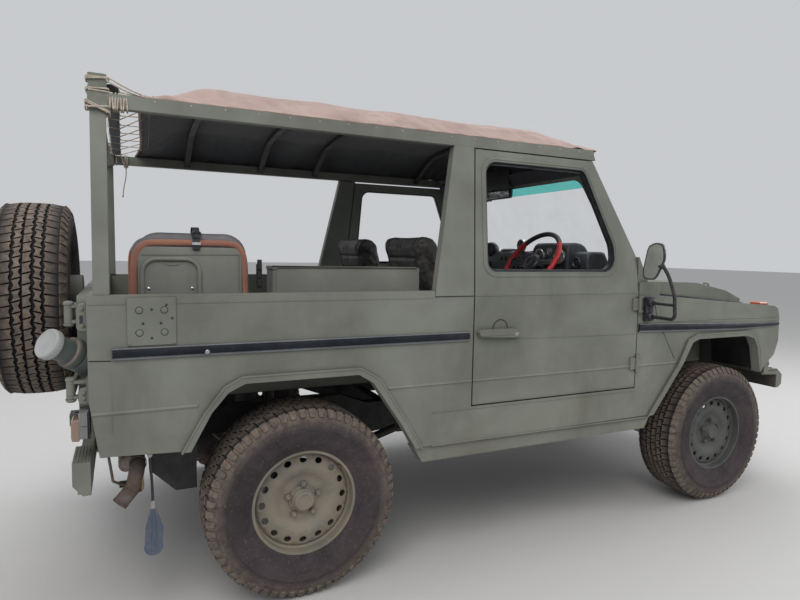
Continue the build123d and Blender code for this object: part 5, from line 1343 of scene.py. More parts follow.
def make_front_seats():
    for side, label in ((-1, "right"), (1, "left")):
        y = side * SEAT_Y
        pad = cushion_shape(side).piece(f"seat_cushion_{label}", "body", VINYL, "seat_cover")
        puff(pad, 0.016)
        channels = [at(CUSHION_MID + dx, y, 1040) for dx in (-120, -40, 40, 120)]
        groove(pad.data, lambda p: min(
            [abs(p.x - c.x) + max(0, 1.02 - p.z) + max(0, abs(p.y - c.y) - 0.165) for c in channels]
            + [abs(abs(p.y - y * MM) - 0.165) + max(0, 1.02 - p.z)]), 0.008, 0.012)
        back = back_shape(side).piece(f"seat_back_{label}", "body", VINYL, "seat_cover")
        puff(back, 0.014)
        groove(back.data, lambda p: min(
            [abs(p.z - z) + max(0, abs(p.y - y * MM) - 0.15) for z in (1.14, 1.21, 1.28, 1.35)]
            + [abs(abs(p.y - y * MM) - 0.15)]), 0.007, 0.012)
        for obj in (pad, back):
            obj.data.materials.clear()
            obj.data.materials.append(VINYL)
            if side < 0 and obj is pad:
                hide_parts("seat_pads")
        piping = Shape()
        line = round_rect(CUSHION_MID - 232, CUSHION_MID + 232, y - 236, y + 236, 55, 6)
        loop = [at(px, py, 1020) for px, py in line]
        piping.tube([*loop, loop[0]], 0.0042, sides=8)
        piping.piece(f"cushion_piping_{label}", "body", VINYL, "seat_cover", smooth=60)


def make_seat_frames():
    """Front plinths with their slide rails, and the two folded pans with hoop, band and screws."""
    shape = Shape()
    for side in (-1, 1):
        y = side * SEAT_Y
        x0, x1, z0, z1 = PLINTH
        shape.box(at(x0, y - 206, z0 + 2), at(x1, y + 206, z1 - 36))
        shape.box(at(x0 + 8, y - 190, z1 - 36), at(x1 + 14, y + 190, z1 - 18))
        for dy in (-165, 165):
            shape.box(at(x0, y + dy - 20, z1 - 18), at(x1 + 30, y + dy + 20, z1))
    plinths = shape.piece("seat_plinths", "body", PAINT, "paint", bevel=0.004)
    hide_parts("seat_frames")
    pan = Shape()
    outline = round_rect(*PAN, 34, 6)
    for side in (-1, 1):
        soft_block(pan, outline, side * FOLD_OUT, side * (FOLD_OUT - 12), 4, RIM_SHARES)
        top = [(PAN[0] + 14, 1352), (PAN[1] - 10, 1357), (PAN[1] - 10, 1360), (PAN[0] + 14, 1355)]
        for line in (top, [(PAN[1] - 13, 1030), (PAN[1] - 10, 1030), (PAN[1] - 10, 1357),
                           (PAN[1] - 13, 1357)]):
            pan.slab(line, side * (FOLD_OUT - 2), side * (FOLD_OUT + 2.2))
        turns = [math.pi / 2 * k / 8 for k in range(9)]
        hoop_line = [(-572, 1030), *[(-522 - 50 * math.cos(t), 1288 + 50 * math.sin(t)) for t in turns],
                     *[(-422 + 50 * math.sin(t), 1288 + 50 * math.cos(t)) for t in turns], (-372, 1030)]
        pan.tube([at(x, side * (FOLD_OUT + 1), z) for x, z in hoop_line], 0.0085, sides=12)
        for leg in (-507, -267):
            pan.slab([(leg - 14, 920), (leg + 14, 920), (leg + 14, 1020), (leg - 14, 1020)],
                     side * (FOLD_OUT - 12), side * FOLD_OUT)
        oval = [(-469 + 28 * math.cos(turn), 1320 + 6 * math.sin(turn)) for turn in turns_of(24)]
        pan.slab(oval, side * (FOLD_OUT - 1), side * (FOLD_OUT + 1.6))
    pan.piece("folded_seat_pans", "body", PAN_AND_LIT_LOCKER_PAINT, "paint", smooth=40)
    screws = Shape()
    for side in (-1, 1):
        for x in (-550, -398):
            screws.lathe([(0, 0.0058), (0.0016, 0.0054), (0.0026, 0.0036), (0.0028, 0.0)],
                         at(x, side * (FOLD_OUT + 0.5), 1228), (0, side, 0), steps=16)
    screws.piece("pan_screws", "body", CHROME, "dark_steel")
    band = Shape()
    line = [(-598, 1010), (-600, 1180), (-599, 1310), (-588, 1364), (-562, 1392), (-525, 1398), (-400, 1400),
            (-275, 1399), (-232, 1391), (-210, 1362), (-201, 1310), (-199, 1180), (-200, 1010)]
    for side in (-1, 1):
        rings = []
        path = curve_through([Vector((x, 0, z)) for x, z in line], 4)
        for i, p in enumerate(path):
            ahead = heading(path, i)
            across_band = Vector((-ahead.z, 0, ahead.x))
            ring = []
            for angle in turns_of(12):
                q = p + across_band * BAND_HALF * math.cos(angle)
                ring.append(at(q.x, side * (FOLD_OUT - 5) + 8 * math.sin(angle), q.z))
            rings.append(ring)
        band.loft(rings)
    band.piece("orange_binding", "body", EDGE_BAND, "canvas", smooth=60)


def make_folded_pads():
    for side, label in ((-1, "right"), (1, "left")):
        shape = Shape()
        outline = round_rect(-601, -184, 1012, 1442, 88, 8)
        soft_block(shape, outline, side * (FOLD_OUT - 16), side * (FOLD_OUT - 68), 24, RIM_SHARES)
        pad = shape.piece(f"folded_pad_{label}", "body", PAD_VINYL, "seat_cover")
        puff(pad, 0.005)
        rim_y = side * (FOLD_OUT - 34) * MM
        groove(pad.data, lambda p: abs(p.y - rim_y) + (0.0 if p.z > 1.30 else 0.004), 0.006, 0.007)
        pad.data.materials.clear()
        pad.data.materials.append(PAD_VINYL)
        strap = Shape()
        run = [(FOLD_OUT - 70, 1385), (FOLD_OUT - 74, 1430), (FOLD_OUT - 60, 1455), (FOLD_OUT - 34, 1459),
               (FOLD_OUT - 8, 1450), (FOLD_OUT + 3, 1420), (FOLD_OUT + 6, 1372)]
        path = curve_through([Vector((0, y, z)) for y, z in run], 4)
        rings = []
        for p in path:
            rings.append([at(-383 + dx, side * (p.y + dy), p.z + dy * 0.3)
                          for dx, dy in ((-13, -1), (13, -1), (13, 1.5), (-13, 1.5))])
        strap.loft(rings)
        strap.piece(f"seat_strap_{label}", "body", RUBBER, "rubber", smooth=50)
        buckle = Shape()
        loop = [at(-383 + 17 * math.cos(t), side * (FOLD_OUT + 8), 1432 + 12 * math.sin(t))
                for t in [2 * math.pi * k / 16 for k in range(17)]]
        buckle.tube(loop, 0.0035, sides=8, mark=1)
        buckle.box(at(-399, side * (FOLD_OUT + 9) - 3, 1392), at(-367, side * (FOLD_OUT + 9) + 3, 1402))
        buckle.box(at(-396, side * (FOLD_OUT + 8) - 2, 1374), at(-372, side * (FOLD_OUT + 8) + 2, 1386),
                   mark=1)
        buckle.piece(f"strap_buckle_{label}", "body", [CHROME, PLASTIC], "dark_steel", bevel=0.001)


# Locker behind the right front seat, with its lip, lid line and latch
def make_locker():
    low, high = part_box("locker")
    x0, x1, y_out = low.x, high.x, low.y
    trim = Shape()
    trim.box((x0 - 0.004, y_out - 0.004, 1.306), (x1 - 0.012, y_out + 0.012, 1.314))
    trim.box((x0 - 0.004, y_out - 0.004, 1.300), (x0 + 0.02, high.y + 0.002, 1.314))
    trim.box((x0 + 0.004, y_out - 0.002, 0.96), (x0 + 0.016, y_out + 0.004, 1.30))
    trim.piece("locker_lip", "body", PAINT, "paint", bevel=0.003)
    latch = Shape()
    latch.box(at(-160, -664, 1226), at(-139, -650, 1322))
    latch.rod(at(-150, -668, 1340), at(-150, -668, 1300), 0.009, sides=14)
    latch.rod(at(-150, -668, 1262), at(-150, -668, 1236), 0.008, sides=14)
    latch.box(at(-157, -672, 1268), at(-144, -662, 1296))
    latch.piece("locker_latch", "body", BLACK, "black_metal", bevel=0.002)


make_front_seats()
make_seat_frames()
make_folded_pads()
make_locker()


# Free cords: the hanging strap with its blade, and the loose end of the lacing rope
STRAP_LINE = [(-558, -720, 766), (-558, -720, 690), (-561, -719, 605), (-552, -720, 515), (-552, -720, 432)]
STRAP_W = 10
ROPE_LINE = [
    (-611, 735, 1829), (-611, 735, 1800), (-614, 734, 1765), (-622, 733, 1730), (-628, 733, 1695),
    (-630, 733, 1661),
]
ROPE_W = 6
STRANDS = 3
STRAND_PITCH = 0.021


def spline_points(name, line):
    """Points along the smooth line that has a route's points as control points."""
    data = bpy.data.curves.new(name, "CURVE")
    data.dimensions = "3D"
    data.resolution_u = 14
    spline = data.splines.new("NURBS")
    spline.points.add(len(line) - 1)
    for point, place in zip(spline.points, line):
        point.co = (*at(*place), 1)
    spline.order_u = 3
    spline.use_endpoint_u = True
    holder = bpy.data.objects.new(name, data)
    scene.collection.objects.link(holder)
    mesh = bpy.data.meshes.new_from_object(holder)
    points = [v.co.copy() for v in mesh.vertices]
    bpy.data.objects.remove(holder)
    bpy.data.meshes.remove(mesh)
    return points


def flat_run(shape, points, width, thick):
    """A flat strap along points, broad across the car's length."""
    rings = []
    for i, p in enumerate(points):
        ahead = heading(points, i)
        broad = (Vector((1, 0, 0)) - ahead * ahead.x).normalized()
        deep = ahead.cross(broad)
        ring = []
        for a, b in ((-1, -0.5), (-0.86, -1), (0.86, -1), (1, -0.5), (1, 0.5), (0.86, 1), (-0.86, 1),
                     (-1, 0.5)):
            ring.append(p + broad * width / 2 * a * MM + deep * thick / 2 * b * MM)
        rings.append(ring)
    shape.loft(rings)


def make_strap():
    points = spline_points("strap_line", STRAP_LINE)
    shape = Shape()
    flat_run(shape, points, STRAP_W, 4.2)
    strap = shape.piece("hanging_strap", "body", RUBBER, "rubber", smooth=50)
    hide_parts("strap")
    webbing = Shape()
    upper = [p for p in points if 0.640 < p.z < 0.692]
    flat_run(webbing, upper, STRAP_W + 5, 7.5)
    for z in (0.688, 0.666, 0.645):
        near = min(points, key=lambda p: abs(p.z - z))
        webbing.box(near - Vector((0.0085, 0.0045, 0.0022)), near + Vector((0.0085, 0.0045, 0.0022)), mark=1)
    sleeve = webbing.piece("strap_sleeve", "body", [PAD_VINYL, STEEL], "canvas", bevel=0.0008)
    crimp = Shape()
    near = min(points, key=lambda p: abs(p.z - 0.628))
    crimp.rod(near + Vector((0, -0.0085, 0)), near + Vector((0, 0.0085, 0)), 0.0095, sides=6)
    crimp.rod(near + Vector((0, -0.0115, 0)), near + Vector((0, -0.008, 0)), 0.0052, sides=12)
    near = points[-1]
    crimp.box(near + Vector((-0.0075, -0.0042, -0.010)), near + Vector((0.0075, 0.0042, 0.020)))
    nut = crimp.piece("strap_nut", "body", STEEL, "dark_steel", bevel=0.0008)
    end_x, end_y, end_z = STRAP_LINE[-1]
    rib = Shape()
    ridge = [(0, -16), (2, -60), (3, -105), (0, -138)]
    for shift in (-9, 9):
        rib.tube([at(end_x + x + shift * (0.35 + 0.65 * min(1, -z / 110)), end_y - 2.4, end_z + z)
                  for x, z in ridge], 0.0016, sides=8)
    ribs = rib.piece("blade_ribs", "body", BLADE_BLUE, "blue_plastic", smooth=60)


def twisted(shape, points, width):
    """A laid rope: strands wound about the line through points."""
    spread = width * MM * 0.24
    fine = [points[0]]
    for a, b in zip(points, points[1:]):
        pieces = max(1, round((b - a).length / 0.0025))
        fine += [a.lerp(b, (k + 1) / pieces) for k in range(pieces)]
    for s in range(STRANDS):
        path, run = [], 0.0
        for i, p in enumerate(fine):
            if i:
                run += (p - fine[i - 1]).length
            ahead = heading(fine, i)
            a = (Vector((1, 0, 0)) - ahead * ahead.x).normalized()
            b = ahead.cross(a)
            turn = 2 * math.pi * (run / STRAND_PITCH + s / STRANDS)
            path.append(p + (a * math.cos(turn) + b * math.sin(turn)) * spread)
        shape.tube(path, width * MM * 0.26, sides=7)


def make_rope_tail():
    points = spline_points("rope_line", ROPE_LINE)
    shape = Shape()
    twisted(shape, points, ROPE_W)
    tail = shape.piece("rope_tail_strands", "body", ROPE, "rope", smooth=60)
    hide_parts("rope_tail")
    knot = Shape()
    top = at(ROPE_LINE[0][0], ROPE_LINE[0][1], 1836)
    turns = []
    for k in range(49):
        turn = 2 * math.pi * k / 16
        turns.append(top + Vector((math.cos(turn) * 0.0088, math.sin(turn) * 0.0086,
                                   -0.0058 + 0.0116 * k / 48 + 0.0015 * math.sin(turn * 2))))
    knot.tube(turns, 0.0031, sides=8)
    cross_turn = []
    for k in range(17):
        turn = 2 * math.pi * k / 16
        cross_turn.append(top + Vector((math.cos(turn) * 0.0095, 0.003 * math.sin(turn * 2),
                                        math.sin(turn) * 0.0066)))
    knot.tube(cross_turn, 0.0030, sides=8)
    ends = [top + Vector((0.0, 0.0, -0.006)), at(*ROPE_LINE[0]) + Vector((0, 0, -0.010))]
    knot.rod(ends[0], ends[1], 0.0042, sides=10, end_radius=0.0034)
    knot_piece = knot.piece("lacing_knot", "body", ROPE, "rope", smooth=60)
    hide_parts("rope_knot")
    whipping = Shape()
    whipping.tube([points[-1], points[-1] + (points[-3] - points[-1]).normalized() * 0.012], 0.0031, sides=10)
    bound = whipping.piece("rope_whipping", "body", RUBBER, "rubber", smooth=60)


BLADE_BLUE = plastic_material("blue_blade", srgb(74, 84, 100), 0.5, grain=300, depth=0.3, dust=0.4)
for blade_slot in NODES["strap_blade"].material_slots:
    blade_slot.material = BLADE_BLUE
make_strap()
make_rope_tail()


# Tail pipe: its lip and clamp, and the rubber hanger
def make_exhaust():
    bands = Shape()
    end = at(-664, -640, 424)
    along = (at(-664, -640, 424) - at(-614, -626, 478)).normalized()
    bands.lathe([(-0.012, 0.0287), (-0.010, 0.0296), (-0.002, 0.0296), (0.0, 0.0290), (0.0004, 0.0262),
                 (-0.0002, 0.0255)],
                end, along, steps=40)
    # The mouth is closed by a black disc: soot black, and painted shade for the bore's depth.
    bands.lathe([(-0.0002, 0.0256), (0.0002, 0.0)], end, along, steps=24, mark=1)
    neck = at(-598, -592, 556)
    bands.lathe([(-0.011, 0.0290), (-0.011, 0.0312), (0.011, 0.0312), (0.011, 0.0290)], neck, (0, 1, 0),
                steps=40)
    bands.piece("exhaust_bands", "body", [RUST, BLACK], "dark_steel", smooth=40)
    hold = Shape()
    hold.box(at(-663, -607, 474), at(-620, -600, 498))
    loop = []
    for k in range(25):
        turn = 2 * math.pi * k / 24
        loop.append(at(-592 + 9 * math.cos(turn), -629, 486 + 26 * math.sin(turn)))
    hold.tube(loop, 0.0055, sides=8, mark=1)
    hold.rod(at(-592, -640, 508), at(-592, -600, 508), 0.0045, sides=10)
    hold.rod(at(-592, -640, 466), at(-592, -600, 466), 0.0045, sides=10)
    hold.piece("exhaust_hanger_rubber", "body", [IRON, HANGER_RUBBER], "black_metal", bevel=0.0)


HANGER_RUBBER = plastic_material("hanger_rubber", srgb(150, 124, 86), 0.7, grain=200, depth=0.4, dust=0.5)
make_exhaust()


# Cab: padded dash, instrument hood with gauges, steering wheel, a dark header sheet as painted shade, tint
# band, inside mirror
SCREEN_SLOPE = 0.544
HEADER = DOOR_FRONT - 244
SCREEN_T = 45
DASH_HALF = 688
DASH_LINE = [
    (1522, 1242), (1512, 1290), (1508, 1360), (1513, 1383), (1528, 1395), (1560, 1399), (1612, 1399),
    (1630, 1395), (1641, 1380), (1668, 1330), (1692, 1285), (1704, 1242),
]
HOOD_LINE = [
    (1498, 1246), (1486, 1300), (1483, 1385), (1486, 1414), (1496, 1432), (1514, 1443), (1545, 1446),
    (1582, 1441), (1608, 1428), (1624, 1410), (1634, 1388), (1648, 1352), (1664, 1300), (1672, 1246),
]
HOOD_Y = (-566, -272)
GAUGE_R = 43
WHEEL_MID = at(DOOR_FRONT - 302, -370, 1337)
WHEEL_RIM_R = 191
GRIP_R = 14
TILT = math.radians(35)


def screen_x(z, inset):
    """Station of the windscreen plane at a height, moved back into the cab."""
    return HEADER + (ROOF_LOW - z) * SCREEN_SLOPE - inset * math.hypot(1, SCREEN_SLOPE)


def gauge(shape, station, y, z, radius, face=1, depth=10):
    """A round gauge that faces the rear: bezel, dished face, ticks and a needle."""
    spot = at(station, y, z)
    r = radius * MM
    shape.lathe([(0, r), (depth * 0.7 * MM, r), (depth * MM, r * 0.97), (depth * MM, r * 0.90),
                 (depth * 0.35 * MM, r * 0.85)],
                spot, (-1, 0, 0), steps=40)
    shape.lathe([(depth * 0.36 * MM, r * 0.86), (depth * 0.30 * MM, 0.0)], spot, (-1, 0, 0), steps=32,
                mark=face)
    front = station - depth * 0.42
    for k in range(21):
        turn = math.radians(225 - 270 * k / 20)
        long = 0.60 if k % 5 == 0 else 0.70
        a, b = Vector((math.cos(turn), math.sin(turn))), Vector((-math.sin(turn), math.cos(turn))) * 0.55
        ring = []
        for reach, wide in ((long, -1), (0.80, -1), (0.80, 1), (long, 1)):
            p = a * radius * reach + b * wide
            ring.append((y - p.x, z + p.y))
        shape.loft([[at(x, py, pz) for py, pz in ring] for x in (front, front - 0.5)], mark=2)
    shape.rod(at(front - 1, y, z), at(front - 1, y - radius * 0.45, z + radius * 0.5), 0.0011, sides=6,
              mark=2)
    shape.rod(at(front + 0.5, y, z), at(front - 2.5, y, z), 0.0042, sides=14)


def slats(shape, place, radius, pitch, thick, deep):
    """Five flat slats across a round vent."""
    for k in (-2, -1, 0, 1, 2):
        half = math.sqrt(max(0.0, radius ** 2 - (k * pitch) ** 2))
        low = place + Vector((0, -half, k * pitch - thick / 2))
        shape.box(low, low + Vector((deep, 2 * half, thick)))


def make_dash():
    pad = Shape()
    soft_block(pad, DASH_LINE, -DASH_HALF, DASH_HALF, 16)
    soft_block(pad, HOOD_LINE, HOOD_Y[0], HOOD_Y[1], 14)
    hood_rear = [(-556, 1282), (-556, 1412), (-538, 1428), (-300, 1428), (-282, 1412), (-282, 1282)]
    pad.piece("dash_pad", "body", DASH, "black_plastic", smooth=50)
    mound = [(1530, 1380), (1528, 1405), (1545, 1413), (1590, 1413), (1612, 1404), (1620, 1380)]
    extra = Shape()
    soft_block(extra, mound, 10, 108, 12)
    for side_at in (-612, 560):
        extra.lathe([(0, 0.031), (0.010, 0.030), (0.014, 0.026), (0.010, 0.022), (0.004, 0.020)],
                    at(1514, side_at, 1340), (-1, 0, 0), steps=32)
        slats(extra, at(1506, side_at, 1340), 0.020, 0.0075, 0.0024, 0.006)
    extra.slab([(1506, 1262), (1512, 1262), (1511, 1332), (1505, 1332)], 190, 520)
    extra.slab([(1503, 1318), (1510, 1318), (1510, 1326), (1503, 1326)], 320, 390)
    extra.slab([(1504, 1250), (1512, 1250), (1510, 1372), (1502, 1372)], -228, 130)
    for z, start, count in ((1352, -200, 7), (1300, -196, 5)):
        for k in range(count):
            y = start + k * 44
            extra.box(at(1494, y - 13, z - 9), at(1504, y + 13, z + 9))
    extra.piece("dash_fittings", "body", PLASTIC, "black_plastic", bevel=0.0012)
    board = Shape()
    board.loft([[at(x, y, z) for y, z in hood_rear] for x in (1487, 1481)])
    board.piece("instrument_board", "body", PLASTIC, "black_plastic", bevel=0.002)
    dials = Shape()
    gauge(dials, 1482, -346, 1370, GAUGE_R)
    gauge(dials, 1482, -508, 1370, GAUGE_R, face=3)
    for z in (1398, 1344):
        gauge(dials, 1482, -428, z, 19, depth=7)
    gauge(dials, 1530, -118, 1432, 38, depth=16)
    dials.rod(at(1536, -118, 1398), at(1536, -118, 1424), 0.009, sides=14)
    dials.piece("gauges", "body", [CHROME, DIAL_BLACK, DIAL_WHITE, DIAL_PALE], "black_plastic", smooth=40)
    horn = Shape()
    horn.lathe([(-0.028, 0.030), (-0.024, 0.040), (0.0, 0.047), (0.020, 0.044), (0.026, 0.036),
                (0.020, 0.030), (0.014, 0.0)],
               at(1520, 192, 1407), (-0.9, -0.4, 0.1), steps=36)
    slats(horn, at(1497, 184, 1409), 0.032, 0.011, 0.0032, 0.010)
    horn.piece("dash_vent_drum", "body", PLASTIC, "black_plastic", smooth=45)


def make_steering_wheel():
    """Black rim with red grips at both sides, three spokes, padded hub and the column's levers."""
    forward = Vector((math.cos(TILT), 0, -math.sin(TILT)))
    left = Vector((0, 1, 0))
    up = left.cross(forward) * -1

    def rim_spot(turn, r):
        return WHEEL_MID + (left * math.cos(turn) + up * math.sin(turn)) * r * MM

    def rim_along(turn):
        return left * -math.sin(turn) + up * math.cos(turn)

    rim = Shape()
    for a0, a1, mark, thin in ((42, 138, 0, 0.4), (138, 402, 1, 0.2)):
        steps = round(96 * (a1 - a0) / 360)
        turns = [math.radians(a0 + (a1 - a0) * k / steps) for k in range(steps + 1)]
        rim.tube([rim_spot(turn, WHEEL_RIM_R) for turn in turns], (GRIP_R - thin) * MM, sides=16, mark=mark)
    for angle in (42, 138):
        turn = math.radians(angle)
        rim.lathe([(-0.002, 0.0132), (-0.0012, 0.01395), (0.0012, 0.01395), (0.002, 0.0132)],
                  rim_spot(turn, WHEEL_RIM_R), rim_along(turn), steps=20)
    for side in (-1, 1):
        for k in range(26):
            turn = math.radians(90 - side * (56 + k * 2.6))
            spot, along = rim_spot(turn, WHEEL_RIM_R - GRIP_R + 1.0), rim_along(turn)
            rim.rod(spot - along * 0.0022 - forward * 0.001, spot + along * 0.0022 + forward * 0.001, 0.0008,
                    sides=5)
    piece = rim.piece("steering_rim", "driver_wheel", [PLASTIC, RED], "black_plastic", smooth=60)
    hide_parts("steering_wheel")
    centre_part = Shape()
    for angle in (4, 176, 270):
        turn = math.radians(angle)
        out = left * math.cos(turn) + up * math.sin(turn)
        broad = forward.cross(out)
        rings = []
        for r, wide, thick, deep in ((36, 25, 7, 10), (80, 19, 5, 9), (130, 15, 4, 6), (168, 17, 4.5, 2),
                                     (182, 20, 6, 0)):
            spot = WHEEL_MID + out * r * MM + forward * (deep * MM)
            rings.append([spot + broad * wide * MM * math.cos(t) + forward * thick * MM * math.sin(t)
                          for t in turns_of(12)])
        centre_part.loft(rings)
    centre_part.lathe([(0.020, 0.0), (0.020, 0.050), (0.006, 0.056), (-0.004, 0.052), (-0.010, 0.040),
                       (-0.012, 0.026), (-0.0105, 0.024), (-0.0105, 0.0)], WHEEL_MID, forward, steps=48)
    centre_part.lathe([(0.020, 0.024), (0.050, 0.022)], WHEEL_MID, forward, steps=24)
    centre_part.piece("steering_hub", "driver_wheel", PLASTIC, "black_plastic", smooth=45)
    column = Shape()
    column.lathe([(0.056, 0.030), (0.060, 0.036), (0.095, 0.040), (0.150, 0.041), (0.190, 0.034)], WHEEL_MID,
                 forward, steps=32)
    for side, reach in ((1, 150), (-1, 140)):
        start = WHEEL_MID + forward * 0.082 + left * side * 0.036
        bend = start + left * side * 0.06 - forward * 0.004
        tip = start + left * side * reach * MM + up * 0.012 - forward * 0.010
        column.tube(curve_through([start, bend, tip], 5), 0.0048, sides=10)
        column.rod(tip - left * side * 0.038, tip, 0.0075, sides=12, end_radius=0.0065)
    column.piece("column_shroud", "body", PLASTIC, "black_plastic", smooth=45)


def make_cab_header_pieces():
    """A dark sheet over the header's inside as painted shade, the tint band on the glass, the overhead box,
    inside mirror and lamp.
    """
    # Painted shade: a dark sheet over the header's inner face.
    shade_panel = Shape()
    rings = []
    for y in (-700, -350, 0, 350, 700):
        ring = []
        for z, inset in ((1776, SCREEN_T + 1), (1776, SCREEN_T + 5), (1806, SCREEN_T + 7),
                         (1838, SCREEN_T + 6)):
            ring.append(at(screen_x(z, inset), y, z))
        ring += [at(1424, y, 1846), at(1426, y, 1880), at(1470, y, 1880), at(1470, y, 1846),
                 at(screen_x(1838, SCREEN_T + 1), y, 1838)]
        rings.append(ring)
    shade_panel.loft(rings)
    shade_panel.piece("header_shade_sheet", "body", CANVAS_UNDER, "canvas", bevel=0.002)
    band = Shape()
    half = 655
    rings = []
    for z in (1722, 1784):
        x = screen_x(z, SCREEN_T / 2 + 4)
        rings.append([at(x, -half, z), at(x, half, z), at(x - 0.8, half, z), at(x - 0.8, -half, z)])
    band.loft(rings)
    band.piece("tint_band", "body", TINT, "glass")
    box = Shape()
    soft_block(box, [(1404, 1768), (1400, 1800), (1408, 1878), (1462, 1878), (1470, 1800), (1466, 1768)],
               -128, 176, 9)
    box.rod(at(1440, 60, 1770), at(1436, 70, 1746), 0.009, sides=14)
    soft_block(box, [(1424, 1706), (1420, 1716), (1420, 1754), (1424, 1764), (1440, 1760), (1444, 1735),
                     (1440, 1710)], -128, 262, 12)
    for y in (96, 128, 172):
        box.lathe([(0, 0.010), (0.004, 0.010), (0.008, 0.007), (0.009, 0.0)], at(1434, y, 1710), (0, 0, -1),
                  steps=16)
    box.piece("overhead_box", "body", PLASTIC, "black_plastic", smooth=45)
    glass = Shape()
    glass.loft([[at(x, y, z) for y, z in ((-114, 1716), (248, 1716), (248, 1754), (-114, 1754))]
                for x in (1420.5, 1418.6)])
    glass.piece("inside_mirror_glass", "body", MIRROR, "glass", bevel=0.0008)
    visor = Shape()
    for y0, y1 in ((-640, -190), (225, 640)):
        soft_block(visor, [(1352, 1868), (1352, 1878), (1440, 1860), (1440, 1850)], y0, y1, 5)
    visor.piece("sun_visors", "body", DASH, "black_plastic", smooth=50)


DIAL_BLACK = plastic_material("dial_black", (0.012, 0.012, 0.013), 0.35, grain=300, depth=0.05, dust=0.05)
DIAL_WHITE = plastic_material("dial_white", (0.62, 0.62, 0.60), 0.4, grain=300, depth=0.05, dust=0.05)
DIAL_PALE = plastic_material("dial_pale", srgb(132, 120, 108), 0.4, grain=300, depth=0.05, dust=0.1)
make_dash()
make_steering_wheel()
make_cab_header_pieces()


# Lamps, hinges, filler, mirrors and the fittings of the nose, the rear door and the underside
LENS_GREY = lens_material("faded_lens", srgb(140, 139, 140), 0.35)
LENS_BEIGE = lens_material("faded_red_lens", srgb(158, 132, 118), 0.35)
NECK_GREY = paint_material("neck_grey", srgb(78, 86, 84), dust_low=0.2, worn=0.5)
CAP_GREY = paint_material("cap_grey", srgb(152, 154, 153), dust_low=0.1, worn=0.5)
# Painted reflection: the outside mirrors' glass gets a flat pale olive grey in place of what it reflects.
MIRROR_PAINTED_REFLECTION = plastic_material("mirror_painted_reflection", srgb(122, 126, 117), 0.20, depth=0.05, dust=0.05)
LINER = black_material("arch_liner", (0.010, 0.011, 0.012), 0.35)


def ribs(shape, x0, x1, y, z0, z1, count, deep, mark):
    """Upright ribs along a lens's side."""
    for i in range(count):
        x = x0 + (x1 - x0) * (i + 0.5) / count
        w = (x1 - x0) / count * 0.28
        shape.box(at(x - w, y - deep, z0), at(x + w, y + 1, z1), mark=mark)


def make_lamps():
    shape = Shape()
    shape.loft([[at(x, y, z) for x, z in ((-749 + dx, 738 - g), (-777 - dx, 740 - g), (-777 - dx, 829 + g),
                                          (-749 + dx, 832 + g))]
               for y, dx, g in ((-728, 0, 0), (-820, 0, 0), (-826, -2.5, -3))], mark=0)
    ribs(shape, -775, -751, -825, 742, 827, 5, 1.6, 0)
    shape.loft([[at(x, y, z) for x, z in ((-777 - dx, 730 + g), (-798 + g, 732 + g), (-801 + g, 742 + g),
                                          (-801 + g, 794 - g), (-796 + g, 803 - g), (-777 - dx, 805 - g))]
                for y, dx, g in ((-730, 0, 3), (-735, 0, 0), (-812, 0, 0), (-817, 0, 4))], mark=1)
    shape.box(at(-748.5, -822, 736), at(-745, -729, 834), mark=2)
    shape.box(at(-772, -824, 783), at(-752, -827.2, 785), mark=2)
    # Front indicator on the fender's top
    shape.loft([[at(2742 + g, y, z), at(2817 - g, y, z - 4), at(2817 - g, y2, z - 4), at(2742 + g, y2, z)]
               for z, g, y, y2 in ((1107, 0, -795, -735), (1120, 0, -795, -735), (1127, 5, -790, -740),
                                   (1129, 14, -782, -748))], mark=3)
    shape.loft([[at(2737, -799, z), at(2822, -799, z - 4), at(2822, -731, z - 4), at(2737, -731, z)]
               for z in (1098, 1110)], mark=2)
    for z in (1112, 1117):
        shape.box(at(2744, -796.2, z - 1), at(2815, -795, z), mark=3)
    shape.mirror()
    lamps = shape.piece("lamps_side", "body", [LENS_GREY, LENS_BEIGE, RUBBER, AMBER], "signal_plastic",
                        bevel=0.0015)
    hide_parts("signal_lamps")


def make_rear_hinges():
    """Cast hinge leaves on the body's corner, and domed pin heads and bolted straps on the door."""
    cast = Shape()
    for z0, z1 in ((1098, 1194), (853, 912)):
        outline = [(-745, z0), (-775, z0 + 3), (-779, z0 + 14), (-779, z1 - 22), (-772, z1 - 6), (-745, z1)]
        cast.loft([[at(x + dx, y, z) for x, z in outline]
                   for y, dx in ((-757, 0), (-794, 0), (-802, 3), (-806, 9))])
        for z in (z0 + 20, z1 - 20):
            cast.lathe([(0, 0.0085), (0.002, 0.008), (0.004, 0.005), (0.0043, 0)], at(-760, -806, z),
                       (0, -1, 0), steps=6)
    cast.piece("rear_hinge_castings", "body", PAINT, "paint", bevel=0.004, smooth=40)
    # Painted shade: a black block stands in for the dark recess of the casting's slot.
    slot = Shape()
    slot.box(at(-768, -807.2, 1122), at(-758, -803, 1152))
    slot.piece("hinge_slot_shade", "body", RUBBER, "black_metal", bevel=0.001)
    knuckle = Shape()
    for low, high in ((870, 932), (1125, 1187)):
        for z, turn in ((low, -1), (high, 1)):
            knuckle.lathe([(0, 0.0165), (0.006, 0.0165), (0.011, 0.012), (0.013, 0.0)], at(-800, -780, z),
                          (0, 0, turn), steps=24)
        middle = (low + high) / 2
        for y in (-700, -640, -585):
            knuckle.lathe([(0, 0.0105), (0.002, 0.010), (0.006, 0.0085), (0.0066, 0)], at(-799.5, y, middle),
                          (-1, 0, 0), steps=6)
    knuckle.piece("rear_hinge_knuckles", "tail_door", PAINT, "paint", smooth=40)


